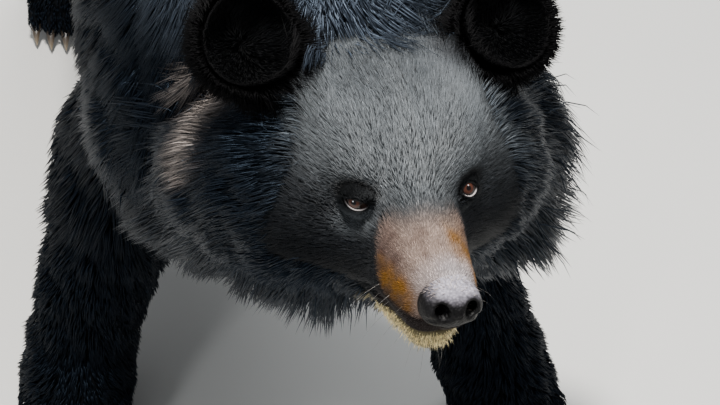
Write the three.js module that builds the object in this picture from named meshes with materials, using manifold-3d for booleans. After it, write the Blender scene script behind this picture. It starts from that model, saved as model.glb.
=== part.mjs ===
// An Asiatic black bear standing on all fours, life size, as a still museum model.
// Millimetres. +Z is up, the bear faces -Y, and +X is its own left. The origin is on
// the floor, under the middle of its box.
//
// The body is one smooth field: bones and muscles are tapered capsules and ellipsoids
// that melt into each other. The field is skinned with triangles region by region, and
// the regions are parted by thin cuts into head, neck, trunk and leg nodes. Ears, eyes,
// nose, claws and tail are solids of their own, each set into a socket. The long hair of
// the ruff is made lock by lock and fused to the neck, over a core half as thick.

import * as THREE from "three";
import { mergeVertices } from "three/addons/utils/BufferGeometryUtils.js";
import Module from "manifold-3d";

const wasm = await Module();
wasm.setup();

const vec = (x, y, z) => new THREE.Vector3(x, y, z);
const radians = THREE.MathUtils.degToRad;
const UP = vec(0, 0, 1);

// ---------------------------------------------------------------- driving dimensions

const GAP = 0.5; // air between two nodes that touch

// The head hangs in front of the chest, a little to the left, raised and tipped.
const HEAD_AT = vec(78, -225, 540);
const HEAD_YAW = 7; // degrees, towards the bear's left
const HEAD_RAISED = 7;
const HEAD_TIPPED = 9; // left ear lower

// Head frame: the same axes, with the origin between the eyes.
const EYE_AT = vec(44, -11, -15); // the left eye's centre
const EYE_FACING = vec(0.4, -0.89, 0.2).normalize();
const EYE_R = 11.5;
const NOSE_AT = vec(0, -102, -54);
const NOSE_R = vec(27, 23, 19);
const NOSTRIL = { across: 12.5, width: 6.5, depth: 15 };
const EAR_AT = vec(116, 100, 75); // the left ear's rim centre
const EAR_FACING = vec(-0.04, -0.83, 0.56).normalize();
const EAR_R = 50;
const EAR_DEPTH = 26;
const EAR_WALL = 8;
const MOUTH = { centreY: -42, turn: 112, cornerZ: -96, frontZ: -86 };

// The ruff stands round the head. Its radii are those of its core and of the hair's tips.
const RUFF = {
  centre: vec(80, -96, 432),
  pitch: -6,
  turn: 8,
  core: vec(152, 80, 108),
  tips: vec(198, 92, 146),
};
// A row of locks runs round the ruff, on the left and the right from so many degrees off
// straight up. Each lock is rooted and ends at these distances behind the ruff's middle.
const RUFF_ROWS = [
  { from: 40, root: -68, tip: -42, count: 17, width: 60, rise: 14 },
  { from: 34, root: -34, tip: 0, count: 20, width: 58, rise: 16 },
  { from: 30, root: 2, tip: 58, count: 18, width: 62, rise: 18 },
];
const LOCK = { thick: 13, sink: 14, hang: 13, proud: 6 };

const CLAW = { fore: 44, hind: 32, radius: 7.5 };

// Joint centres of the legs, from shoulder or hip to the middle of the paw. The fore
// paws are planted wide, and each left paw is half a step from the right one.
const LEGS = {
  fore_right: {
    joints: [vec(-72, 60, 500), vec(-133, 122, 330), vec(-216, 82, 92), vec(-232, 38, 42)],
    heading: -4,
  },
  fore_left: {
    joints: [vec(76, 25, 500), vec(140, 70, 330), vec(224, -18, 92), vec(238, -60, 42)],
    heading: 4,
  },
  hind_right: {
    joints: [vec(-82, 890, 560), vec(-128, 838, 360), vec(-176, 908, 100), vec(-184, 842, 42)],
    heading: -6,
  },
  hind_left: {
    joints: [vec(82, 900, 560), vec(124, 862, 355), vec(166, 982, 100), vec(174, 918, 42)],
    heading: 6,
  },
};

// Radii at the shoulder or hip, elbow or knee, and wrist or ankle, coat included.
const LEG_RADII = { fore: [92, 74, 61], hind: [146, 94, 60] };
const PAW = {
  fore: { length: 140, width: 122, height: 96, toe: 26, spread: 24 },
  hind: { length: 186, width: 112, height: 92, toe: 23, spread: 21.5 },
};
const LEG_TOP_Z = 284; // the cut under the belly
const PAW_TOP_Z = 98;

// Grid steps of the skins: coarse on the trunk, fine on the muzzle.
const STEP = { trunk: 54, limb: 42, neck: 46, leg: 37, paw: 36, head: 20, muzzle: 12.5, nose: 7.5 };

// ---------------------------------------------------------------- the field

// Distance to a capsule from a to b whose radius runs from ra to rb.
function cone(a, ra, b, rb) {
  const ab = b.clone().sub(a);
  const length2 = ab.lengthSq();
  const q = vec();
  return (p) => {
    const t = THREE.MathUtils.clamp(q.copy(p).sub(a).dot(ab) / length2, 0, 1);
    return q.copy(p).sub(a).addScaledVector(ab, -t).length() - (ra + (rb - ra) * t);
  };
}

// Distance, nearly, to an ellipsoid with radii r, pitched about X and turned about Z.
function ball(centre, r, pitch = 0, turn = 0) {
  const undo = new THREE.Matrix4()
    .makeRotationFromEuler(new THREE.Euler(radians(pitch), 0, radians(turn), "ZXY"))
    .setPosition(centre)
    .invert();
  const q = vec();
  return (p) => {
    q.copy(p).applyMatrix4(undo);
    const k0 = Math.hypot(q.x / r.x, q.y / r.y, q.z / r.z);
    const k1 = Math.hypot(q.x / r.x ** 2, q.y / r.y ** 2, q.z / r.z ** 2);
    return k1 < 1e-9 ? -Math.min(r.x, r.y, r.z) : (k0 * (k0 - 1)) / k1;
  };
}

// The lesser of two distances, rounded where they meet over a width k.
function melt(d1, d2, k) {
  const h = Math.max(k - Math.abs(d1 - d2), 0) / k;
  return Math.min(d1, d2) - (h * h * k) / 4;
}

// One field from several, each [field, blend width].
const melted = (parts) => (p) => parts.reduce((d, [part, k]) => melt(d, part(p), k), 1e3);

// The same field on both sides.
const mirrored = (part) => {
  const q = vec();
  return (p) => part(q.set(Math.abs(p.x), p.y, p.z));
};

// The field's outward direction.
function outward(field, p) {
  const e = 2;
  const slope = (axis) =>
    field(p.clone().addScaledVector(axis, e)) - field(p.clone().addScaledVector(axis, -e));
  return vec(slope(vec(1, 0, 0)), slope(vec(0, 1, 0)), slope(UP)).normalize();
}

// ---------------------------------------------------------------- head

const headPose = new THREE.Matrix4()
  .makeRotationFromEuler(
    new THREE.Euler(radians(-HEAD_RAISED), radians(HEAD_TIPPED), radians(HEAD_YAW), "ZXY"),
  )
  .setPosition(HEAD_AT);

const skull = melted([
  [mirrored(ball(vec(17, 68, 6), vec(68, 89, 70), -8)), 10], // cranium
  [ball(vec(0, 20, 4), vec(52, 50, 37), 20), 28], // forehead
  [mirrored(ball(vec(64, 74, -50), vec(62, 66, 68), 0, -14)), 50], // cheeks
  [mirrored(cone(vec(54, 44, -58), 46, vec(30, -14, -66), 27)), 36], // jaw muscles
  [mirrored(ball(vec(32, 6, 6), vec(27, 20, 12))), 16], // brows
  [mirrored(cone(vec(62, 88, 28), 32, vec(102, 112, 52), 26)), 24], // ear roots
  [cone(vec(0, 0, -40), 46, vec(0, -80, -55), 33), 26], // muzzle
  [mirrored(cone(vec(14, -48, -64), 26, vec(11, -92, -68), 20)), 14], // upper lips
  [cone(vec(0, 10, -86), 38, vec(0, -80, -97), 20), 14], // lower jaw and chin
]);

// ---------------------------------------------------------------- trunk, neck and legs

const trunk = melted([
  [ball(vec(0, 190, 510), vec(176, 260, 226), 4), 10], // ribs
  [ball(vec(0, 150, 655), vec(100, 170, 100), 8), 90], // withers
  [ball(vec(0, 520, 494), vec(178, 320, 210)), 120], // belly
  [ball(vec(0, 830, 545), vec(172, 215, 192), -14), 120], // rump
  [ball(vec(5, -4, 430), vec(184, 116, 152)), 60], // breast
]);
// The neck, with the ruff as one swelling.
const neck = (ruff) =>
  melted([
    [cone(vec(8, 110, 592), 158, vec(54, -26, 560), 106), 10],
    [ball(RUFF.centre, ruff, RUFF.pitch, RUFF.turn), 50],
  ]);

const kindOf = (name) => name.split("_")[0];
const paws = Object.fromEntries(
  Object.entries(LEGS).map(([name, leg]) => [name, { ...PAW[kindOf(name)], ...leg }]),
);

// The five toe tips of a paw, in an arc.
function toeTips(name) {
  const { joints, heading, length, spread, toe } = paws[name];
  const foot = joints[3];
  return [-2, -1, 0, 1, 2].map((i) =>
    vec(i * spread, -(length / 2 - 4 - 4.5 * i * i), 0)
      .applyAxisAngle(UP, radians(heading))
      .add(vec(foot.x, foot.y, toe)),
  );
}

function pawField(name) {
  const { joints, heading, length, width, height } = paws[name];
  const foot = joints[3];
  return ball(
    vec(foot.x, foot.y + length * 0.04, height * 0.42),
    vec(width / 2, length * 0.46, height * 0.58),
    0,
    heading,
  );
}

// The five toes bulge from the front of the paw.
function toes(name) {
  const { heading, length, toe } = paws[name];
  return toeTips(name).map((tip) =>
    new THREE.SphereGeometry(1, 6, 4)
      .scale(toe * 0.56, length * 0.2, toe * 0.95)
      .translate(0, length * 0.17, 4)
      .rotateX(radians(14))
      .rotateZ(radians(heading))
      .translate(tip.x, tip.y, tip.z),
  );
}

function legField(name) {
  const [top, middle, low] = LEGS[name].joints;
  const [rTop, rMiddle, rLow] = LEG_RADII[kindOf(name)];
  return melted([
    [cone(top, rTop, middle, rMiddle), 10],
    [cone(middle, rMiddle, low, rLow), 36],
    [pawField(name), 44],
  ]);
}

const bodyWith = (ruff) =>
  melted([
    [trunk, 10],
    [neck(ruff), 70],
    ...Object.keys(LEGS).map((name) => [legField(name), 44]),
  ]);
const body = bodyWith(RUFF.core);
const hairTips = bodyWith(RUFF.tips);

// ---------------------------------------------------------------- skinning

const CORNERS = [0, 1, 2, 3, 4, 5, 6, 7].map((c) => [c & 1, (c >> 1) & 1, (c >> 2) & 1]);
const CELL_EDGES = CORNERS.flatMap((_, a) =>
  [1, 2, 4].filter((bit) => !(a & bit)).map((bit) => [a, a | bit]),
);
const AXES = [
  [1, 0, 0],
  [0, 1, 0],
  [0, 0, 1],
];

// Grid lines from low to high, about a step apart.
function ruled(low, high, step) {
  const count = Math.ceil((high - low) / step);
  return Array.from({ length: count + 1 }, (_, i) => low + ((high - low) * i) / count);
}

// Triangles over the field's zero surface, by surface nets on a grid with these lines.
// The skin closes inside the outermost lines.
function skinned(field, xs, ys, zs) {
  const [nx, ny, nz] = [xs.length, ys.length, zs.length];
  const place = (i, j, k) => vec(xs[i], ys[j], zs[k]);
  const index = (i, j, k) => i + nx * (j + ny * k);
  const onRim = (i, j, k) =>
    i % (nx - 1) === 0 || j % (ny - 1) === 0 || k % (nz - 1) === 0;

  function each(spare, visit) {
    for (let k = 0; k < nz - spare; k++)
      for (let j = 0; j < ny - spare; j++) for (let i = 0; i < nx - spare; i++) visit(i, j, k);
  }

  const value = new Float32Array(nx * ny * nz);
  each(0, (i, j, k) => {
    value[index(i, j, k)] = onRim(i, j, k) ? 1 : field(place(i, j, k)) + 1e-3;
  });

  // One vertex for each cell that the surface passes: the mean of its edge crossings,
  // moved on to the surface where the whole cell is inside the outermost lines.
  const positions = [];
  const cellVertex = new Int32Array(nx * ny * nz).fill(-1);
  each(1, (i, j, k) => {
    const v = CORNERS.map(([a, b, c]) => value[index(i + a, j + b, k + c)]);
    const crossed = CELL_EDGES.filter(([a, b]) => v[a] < 0 !== v[b] < 0);
    if (!crossed.length) return;
    const p = vec(0, 0, 0);
    for (const [a, b] of crossed)
      p.add(vec(...CORNERS[a]).lerp(vec(...CORNERS[b]), v[a] / (v[a] - v[b])));
    const size = place(i + 1, j + 1, k + 1).sub(place(i, j, k));
    p.divideScalar(crossed.length).multiply(size).add(place(i, j, k));
    const free = !onRim(i, j, k) && !onRim(i + 1, j + 1, k + 1);
    for (let n = 0; free && n < 3; n++) p.addScaledVector(outward(field, p), -field(p));
    cellVertex[index(i, j, k)] = positions.length / 3;
    positions.push(...p.toArray());
  });

  // Two triangles across each grid edge that the surface passes, split on the short side.
  const triangles = [];
  const point = (n) => vec().fromArray(positions, 3 * n);
  function quad([a, b, c, d], flip) {
    const short = point(a).distanceTo(point(c)) < point(b).distanceTo(point(d));
    const made = short ? [a, b, c, a, c, d] : [a, b, d, b, c, d];
    triangles.push(...(flip ? made.reverse() : made));
  }
  each(1, (i, j, k) =>
    AXES.forEach((axis, n) => {
      const here = value[index(i, j, k)] < 0;
      const there = value[index(i + axis[0], j + axis[1], k + axis[2])] < 0;
      if (here === there) return; // and so never along the outermost lines
      const [u, w] = [AXES[(n + 1) % 3], AXES[(n + 2) % 3]];
      const cell = (s, t) =>
        cellVertex[index(...[i, j, k].map((x, m) => x - s * u[m] - t * w[m]))];
      quad([cell(1, 1), cell(0, 1), cell(0, 0), cell(1, 0)], !here);
    }),
  );
  return new THREE.BufferGeometry()
    .setAttribute("position", new THREE.Float32BufferAttribute(positions, 3))
    .setIndex(triangles);
}

// ---------------------------------------------------------------- solids

// The geometry's places alone, with shared corners merged.
function welded(geometry) {
  const bare = new THREE.BufferGeometry()
    .setAttribute("position", geometry.getAttribute("position"))
    .setIndex(geometry.index);
  return mergeVertices(bare, 1e-3);
}

// The same shape, grown outwards: the cutter of a socket that leaves air all round.
function grown(geometry, by = 1.4 * GAP) {
  const made = welded(geometry);
  made.computeVertexNormals();
  const { position, normal } = made.attributes;
  for (let i = 0; i < position.count; i++) {
    const p = vec().fromBufferAttribute(position, i);
    position.setXYZ(i, ...p.addScaledVector(vec().fromBufferAttribute(normal, i), by));
  }
  return made;
}

function solid(geometry) {
  const merged = welded(geometry);
  return new wasm.Manifold(
    new wasm.Mesh({
      numProp: 3,
      vertProperties: new Float32Array(merged.attributes.position.array),
      triVerts: new Uint32Array(merged.index.array),
    }),
  );
}

// The part of a solid on the side of a point that a direction leads to.
const ahead = (made, point, direction) =>
  made.trimByPlane(direction.toArray(), point.dot(direction));

// The largest closed surface of a solid.
const largest = (made) =>
  made.decompose().reduce((a, b) => (a.volume() > b.volume() ? a : b));

function geometryOf(made) {
  const { vertProperties, triVerts } = made.getMesh();
  return new THREE.BufferGeometry()
    .setAttribute("position", new THREE.BufferAttribute(new Float32Array(vertProperties), 3))
    .setIndex(new THREE.BufferAttribute(new Uint32Array(triVerts), 1));
}

// A pose that stands a geometry's +Y along a direction.
const alongY = (at, direction) =>
  new THREE.Matrix4()
    .makeRotationFromQuaternion(
      new THREE.Quaternion().setFromUnitVectors(vec(0, 1, 0), direction.clone().normalize()),
    )
    .setPosition(at);

const sideOf = (v, side) => vec(v.x * side, v.y, v.z);

// ---------------------------------------------------------------- eyes, ears and nose

const SIDES = { right: -1, left: 1 };

function eyeball(side) {
  return new THREE.SphereGeometry(EYE_R, 12, 8)
    .applyMatrix4(alongY(sideOf(EYE_AT, side), sideOf(EYE_FACING, side)))
    .applyMatrix4(headPose);
}

// The hollow before the eyeball, which the lids then narrow.
function orbit(side) {
  const rim = EYE_AT.clone().addScaledVector(EYE_FACING, 0.9 * EYE_R);
  return new THREE.SphereGeometry(10, 8, 6)
    .scale(1, 1.2, 0.8)
    .applyMatrix4(alongY(sideOf(rim, side), sideOf(EYE_FACING, side)))
    .applyMatrix4(headPose);
}

// The lids are one almond ring that lies on the eyeball.
function lids(side) {
  const ring = new THREE.TorusGeometry(9.4, 2.9, 5, 14);
  const at = ring.getAttribute("position");
  for (let i = 0; i < at.count; i++) {
    const x = at.getX(i);
    const y = at.getY(i) * (0.62 + 0.1 * Math.sign(at.getY(i)));
    const rise = Math.sqrt(Math.max(EYE_R ** 2 - x * x - y * y, 0));
    at.setXYZ(i, x, y, at.getZ(i) + rise);
  }
  const facing = sideOf(EYE_FACING, side);
  const pose = new THREE.Matrix4().lookAt(facing, vec(0, 0, 0), UP);
  pose.setPosition(sideOf(EYE_AT, side));
  return ring.applyMatrix4(pose).applyMatrix4(headPose);
}

// The ear is a bowl of gristle. Filled, it is the cutter of its own socket, and it keeps
// the head out of the bowl's mouth.
function ear(side, spare = 0, hollow = true) {
  const r = EAR_R + spare;
  const steps = 4;
  const outer = Array.from({ length: steps + 1 }, (_, i) => {
    const a = (i / steps) * (Math.PI / 2);
    return new THREE.Vector2(r * Math.sin(a), -(EAR_DEPTH + spare) * Math.cos(a));
  });
  const inner = Array.from({ length: steps }, (_, i) => {
    const a = (1 - i / (steps - 1)) * (Math.PI / 2);
    const wall = EAR_WALL * (1 - 0.45 * Math.sin(a));
    return new THREE.Vector2((r - wall) * Math.sin(a), 3 - (EAR_DEPTH - EAR_WALL) * Math.cos(a));
  });
  inner[inner.length - 1].x = 0;
  outer[0].x = 0;
  const mouth = [new THREE.Vector2(r, EAR_DEPTH), new THREE.Vector2(0, EAR_DEPTH)];
  const profile = [...outer, ...(hollow ? inner : mouth)];
  return new THREE.LatheGeometry(profile, 16)
    .scale(0.96, 1, 1.04)
    .applyMatrix4(alongY(sideOf(EAR_AT, side), sideOf(EAR_FACING, side)))
    .applyMatrix4(headPose);
}

const noseField = melted([
  [ball(NOSE_AT, NOSE_R, -14), 6],
  [mirrored(ball(NOSE_AT.clone().add(vec(13, -8, -2)), vec(13, 14, 14))), 8], // nostril wings
  [ball(NOSE_AT.clone().add(vec(0, 2, -14)), vec(9, 17, 10)), 8], // septum
]);

function noseSkin() {
  const reach = NOSE_R.clone().addScalar(14);
  const [low, high] = [NOSE_AT.clone().sub(reach), NOSE_AT.clone().add(reach)];
  const grid = ["x", "y", "z"].map((axis) => ruled(low[axis], high[axis], STEP.nose));
  return skinned(noseField, ...grid);
}

function nose() {
  const nostrils = [-1, 1].map((side) => {
    const hole = new THREE.ConeGeometry(NOSTRIL.width, 2 * NOSTRIL.depth, 7)
      .scale(1, 1, 0.62)
      .applyMatrix4(
        alongY(
          NOSE_AT.clone().add(vec(side * NOSTRIL.across, -24, -3)),
          vec(-side * 0.35, 1, 0.05),
        ),
      );
    return solid(hole);
  });
  const whole = nostrils.reduce((made, hole) => made.subtract(hole), solid(noseSkin()));
  return solid(geometryOf(largest(whole)).applyMatrix4(headPose));
}

// Where a ray from inside a field meets its surface.
function surfaceFrom(field, start, direction) {
  const p = start.clone();
  for (let i = 0; i < 60 && Math.abs(field(p)) > 0.1; i++)
    p.addScaledVector(direction, -0.8 * field(p));
  return p;
}

// The line of the mouth, from corner to corner round the front of the muzzle, or a line
// that lies lower, stands out from the skin or stops short of the corners.
function mouthLine(drop = 0, out = 0, share = 1) {
  const { centreY, turn, cornerZ, frontZ } = MOUTH;
  const points = [-4, -3, -2, -1, 0, 1, 2, 3, 4].map((i) => {
    const z = THREE.MathUtils.lerp(frontZ, cornerZ, Math.abs(i) / 4) - drop;
    const away = vec(0, -1, 0).applyAxisAngle(UP, radians((i * share * turn) / 4));
    return surfaceFrom(skull, vec(0, centreY, z), away).addScaledVector(away, out);
  });
  return new THREE.CatmullRomCurve3(points);
}

function swept(section, curve, steps) {
  return new THREE.ExtrudeGeometry(section, { steps, bevelEnabled: false, extrudePath: curve });
}

function disc(rx, ry, sides) {
  const points = Array.from({ length: sides }, (_, i) => {
    const a = (i / sides) * 2 * Math.PI;
    return new THREE.Vector2(rx * Math.cos(a), ry * Math.sin(a));
  });
  return new THREE.Shape(points);
}

// ---------------------------------------------------------------- claws and tail

// A claw bends down from the toe, flat on its sides and full for most of its length.
function claw(tip, heading, length) {
  const horn = new THREE.ConeGeometry(CLAW.radius, length, 5, 3).translate(0, length / 2, 0);
  const at = horn.getAttribute("position");
  for (let i = 0; i < at.count; i++) {
    const t = at.getY(i) / length;
    const full = 1 + 0.8 * t;
    const bend = 0.42 * length * t * t;
    at.setXYZ(i, at.getX(i) * 0.62 * full, at.getY(i), at.getZ(i) * full - bend);
  }
  const pose = new THREE.Matrix4()
    .makeRotationZ(radians(heading) + Math.PI)
    .setPosition(tip.clone());
  return horn.rotateX(radians(-12)).applyMatrix4(pose);
}

function claws(name) {
  const length = CLAW[kindOf(name)];
  const { heading, toe } = paws[name];
  const back = vec(0, 1, 0).applyAxisAngle(UP, radians(heading));
  return toeTips(name).map((tip) =>
    claw(tip.clone().addScaledVector(back, -toe * 0.45).setZ(toe + 4), heading, length),
  );
}

function tail() {
  return new THREE.SphereGeometry(1, 10, 7)
    .scale(34, 30, 62)
    .rotateX(radians(24))
    .translate(0, 1032, 560);
}

// ---------------------------------------------------------------- the ruff's locks

// Draws in [0, 1) that are the same each time.
function draws(seed) {
  let state = seed;
  return () => {
    state = (state * 1664525 + 1013904223) % 2 ** 32;
    return state / 2 ** 32;
  };
}

// A flat, tapered lock on a bent path, widest a third of the way along.
function lock(path, across, width, thick) {
  const blade = new THREE.ConeGeometry(1, 1, 4, 3).translate(0, 0.5, 0);
  const at = blade.getAttribute("position");
  for (let i = 0; i < at.count; i++) {
    const t = at.getY(i);
    const full = 0.3 + 1.2 * t;
    const out = across.clone().cross(path.getTangent(t)).normalize();
    const p = path
      .getPoint(t)
      .addScaledVector(across, at.getX(i) * full * width)
      .addScaledVector(out, at.getZ(i) * full * thick);
    at.setXYZ(i, ...p);
  }
  return blade;
}

const ruffPose = new THREE.Matrix4()
  .makeRotationFromEuler(new THREE.Euler(radians(RUFF.pitch), 0, radians(RUFF.turn), "ZXY"))
  .setPosition(RUFF.centre);

// The way out from the ruff's middle line, at an angle from up towards the left.
const ruffWay = (degrees) =>
  vec(Math.sin(radians(degrees)), 0, Math.cos(radians(degrees))).transformDirection(ruffPose);

// The locks root in the core and hang a little as they run out and back to their tips.
function ruffLocks() {
  const next = draws(20);
  const stray = (by) => (next() - 0.5) * by;
  const line = (y) => vec(0, y, 0).applyMatrix4(ruffPose);
  return RUFF_ROWS.flatMap(({ from, root, tip, count, width, rise }) =>
    Array.from({ length: count }, (_, i) => {
      const share = (i + 0.5 + stray(0.5)) / count;
      const angle = THREE.MathUtils.lerp(from, 360 - from, share);
      const away = ruffWay(angle);
      const hang = LOCK.hang * Math.sin(radians(angle)) + stray(7);
      const start = surfaceFrom(body, line(root + stray(12)), away);
      const end = surfaceFrom(hairTips, line(tip + stray(22)), ruffWay(angle + hang));
      end.addScaledVector(away, LOCK.proud + stray(14));
      const across = vec(0, 1, 0).transformDirection(ruffPose).cross(away).normalize();
      const crest = start.clone().lerp(end, 0.5).addScaledVector(away, rise);
      crest.addScaledVector(across, stray(26));
      start.addScaledVector(away, -LOCK.sink);
      const path = new THREE.QuadraticBezierCurve3(start, crest, end);
      return lock(path, across, width * (0.85 + 0.3 * next()), LOCK.thick);
    }),
  );
}

// ---------------------------------------------------------------- parting the body

// Head and neck part behind the ears and jaw; neck and chest from withers to breast.
const NAPE = {
  point: vec(0, 112, 0).applyMatrix4(headPose),
  ahead: vec(0, -0.94, 0.342).transformDirection(headPose),
};
const NECK_BASE = { point: vec(0, 20, 560), ahead: vec(0.1, -0.95, 0.3).normalize() };
const CHEST_BACK_Y = 350;
const BELLY_BACK_Y = 640;

const behind = (made, { point, ahead: direction }) =>
  ahead(made, point.clone().addScaledVector(direction, -GAP), direction.clone().negate());
const inFront = (made, { point, ahead: direction }) => ahead(made, point, direction);

// The upper leg's share of the trunk is what a flattened capsule round the bone holds.
function upperLegCutter(name, spare = 0) {
  const [top, middle] = LEGS[name].joints;
  const hind = kindOf(name) === "hind";
  const radius = (hind ? 150 : 124) + spare;
  const bone = middle.clone().sub(top);
  const side = Math.sign(top.x);
  const centre = top.clone().lerp(middle, 0.62);
  return new THREE.CapsuleGeometry(radius, bone.length() * 1.15, 3, 12)
    .applyMatrix4(alongY(vec(0, 0, 0), bone))
    .scale(0.8, 1, 1)
    .translate(centre.x + side * 54, centre.y, centre.z);
}

function trunkSkin() {
  const side = ruled(100, 320, STEP.limb);
  const across = [...side.map((x) => -x).reverse(), ...ruled(-50, 50, STEP.trunk), ...side];
  const along = [
    ...ruled(-270, 240, STEP.trunk),
    ...ruled(310, 700, 1.5 * STEP.trunk),
    ...ruled(760, 1160, STEP.trunk),
  ];
  const up = ruled(LEG_TOP_Z - 2.4 * STEP.trunk, 850, STEP.trunk);
  return solid(skinned(body, across, along, up));
}

const aboveLegs = (made) => ahead(made, vec(0, 0, LEG_TOP_Z), UP);

function trunkNodes() {
  const whole = aboveLegs(trunkSkin());
  const nodes = {};
  let rest = whole;
  for (const name of Object.keys(LEGS)) {
    const part = kindOf(name) === "fore" ? "upper_arm" : "thigh";
    nodes[`${part}_${name.split("_")[1]}`] = whole.intersect(solid(upperLegCutter(name)));
    rest = rest.subtract(solid(upperLegCutter(name, GAP)));
  }
  rest = behind(rest, NECK_BASE);
  const y = (value) => vec(0, value, 0);
  const backwards = vec(0, 1, 0);
  nodes.chest = ahead(rest, y(CHEST_BACK_Y), vec(0, -1, 0));
  nodes.belly = ahead(ahead(rest, y(CHEST_BACK_Y + GAP), backwards), y(BELLY_BACK_Y), vec(0, -1, 0));
  nodes.rump = ahead(rest, y(BELLY_BACK_Y + GAP), backwards).subtract(solid(grown(tail())));
  return nodes;
}

// The head's own surface, closed behind the ears.
function headSkin() {
  const across = ruled(-170, 170, STEP.head);
  const along = [...ruled(-135, -25, STEP.muzzle), ...ruled(-10, 210, STEP.head)];
  const up = [...ruled(-160, -10, 0.7 * STEP.head), ...ruled(5, 120, STEP.head)];
  const skin = skinned(skull, across, along, up);
  return inFront(solid(skin.applyMatrix4(headPose)), NAPE);
}

// The neck and ruff wrap the back of the head. The locks are cut clear of the trunk.
function neckNode(trunkParts) {
  const across = ruled(-240, 350, STEP.neck);
  const along = ruled(-290, 240, STEP.neck);
  const up = ruled(230, 850, STEP.neck);
  const skin = skinned(body, across, along, up);
  let core = inFront(solid(skin), NECK_BASE);
  for (const name of ["fore_right", "fore_left"])
    core = core.subtract(solid(upperLegCutter(name, GAP)));
  let hair = wasm.Manifold.union(ruffLocks().map(solid));
  for (const part of [trunkParts.chest, trunkParts.upper_arm_right, trunkParts.upper_arm_left])
    hair = hair.subtract(solid(grown(geometryOf(largest(part)))));
  let made = core.add(hair).subtract(solid(grown(geometryOf(headSkin()))));
  for (const side of Object.values(SIDES)) made = made.subtract(solid(ear(side, GAP, false)));
  return made;
}

function headNode() {
  let made = headSkin();
  const lip = swept(disc(4, 4, 5), mouthLine(6.5, -0.5, 0.93), 13).applyMatrix4(headPose);
  made = made.add(solid(lip));
  for (const side of Object.values(SIDES)) {
    made = made.subtract(solid(orbit(side))).add(solid(lids(side)));
    made = made.subtract(solid(grown(eyeball(side))));
    made = made.subtract(solid(ear(side, GAP, false)));
  }
  const groove = swept(disc(2, 8, 4), mouthLine(), 14).applyMatrix4(headPose);
  const socket = grown(noseSkin()).applyMatrix4(headPose);
  return made.subtract(solid(groove)).subtract(solid(socket));
}

function lowerLegNodes(name) {
  const [, , low, foot] = LEGS[name].joints;
  const reach = 150;
  const inner = 25; // how near the skin comes to the bear's middle
  const side = Math.sign(foot.x);
  const grid = (z0, z1, step) => [
    ruled(...(side > 0 ? [inner, foot.x + reach] : [foot.x - reach, -inner]), step),
    ruled(Math.min(low.y, foot.y) - reach, Math.max(low.y, foot.y) + reach, step),
    ruled(z0 - 2.2 * step, z1 + 2.2 * step, step),
  ];
  const shank = solid(skinned(body, ...grid(PAW_TOP_Z, LEG_TOP_Z, STEP.leg)));
  const shaft = ahead(
    ahead(shank, vec(0, 0, LEG_TOP_Z - GAP), UP.clone().negate()),
    vec(0, 0, PAW_TOP_Z + GAP),
    UP,
  );
  const paw = solid(skinned(body, ...grid(0, PAW_TOP_Z, STEP.paw)));
  const whole = paw.add(wasm.Manifold.union(toes(name).map(solid)));
  let sole = ahead(ahead(whole, vec(0, 0, 0), UP), vec(0, 0, PAW_TOP_Z), UP.clone().negate());
  for (const horn of claws(name)) sole = sole.subtract(solid(grown(horn)));
  return [shaft, sole];
}

// ---------------------------------------------------------------- the bear

const COLOURS = {
  coat: [0x1b1c20, 0.85],
  face: [0x3a3c40, 0.8],
  horn: [0x2a2622, 0.45],
  eye: [0x5a2a12, 0.1],
  nose: [0x2b2a2c, 0.4],
};

const bear = new THREE.Group();

function addNode(name, made, colour) {
  const [color, roughness] = COLOURS[colour];
  const mesh = new THREE.Mesh(
    geometryOf(largest(made)),
    new THREE.MeshStandardMaterial({ color, roughness, metalness: 0 }),
  );
  mesh.name = name;
  bear.add(mesh);
}

const trunkParts = trunkNodes();
for (const [name, made] of Object.entries(trunkParts)) addNode(name, made, "coat");
addNode("neck", neckNode(trunkParts), "coat");
addNode("head", headNode(), "face");
addNode("nose", nose(), "nose");
addNode("tail", solid(tail()), "coat");
for (const [sideName, side] of Object.entries(SIDES)) {
  addNode(`eye_${sideName}`, solid(eyeball(side)), "eye");
  addNode(`ear_${sideName}`, solid(ear(side)), "coat");
}
for (const name of Object.keys(LEGS)) {
  const [kind, sideName] = name.split("_");
  const [shaft, paw] = lowerLegNodes(name);
  addNode(`${kind === "fore" ? "forearm" : "shank"}_${sideName}`, shaft, "coat");
  addNode(`${kind}_paw_${sideName}`, paw, "coat");
  claws(name).forEach((horn, i) =>
    addNode(`${kind}_claw_${sideName}_${i + 1}`, solid(horn), "horn"),
  );
}

const box = new THREE.Box3().setFromObject(bear);
const middle = box.getCenter(vec());
bear.position.set(-middle.x, -middle.y, -box.min.z);

export default bear;
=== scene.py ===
import math

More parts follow.
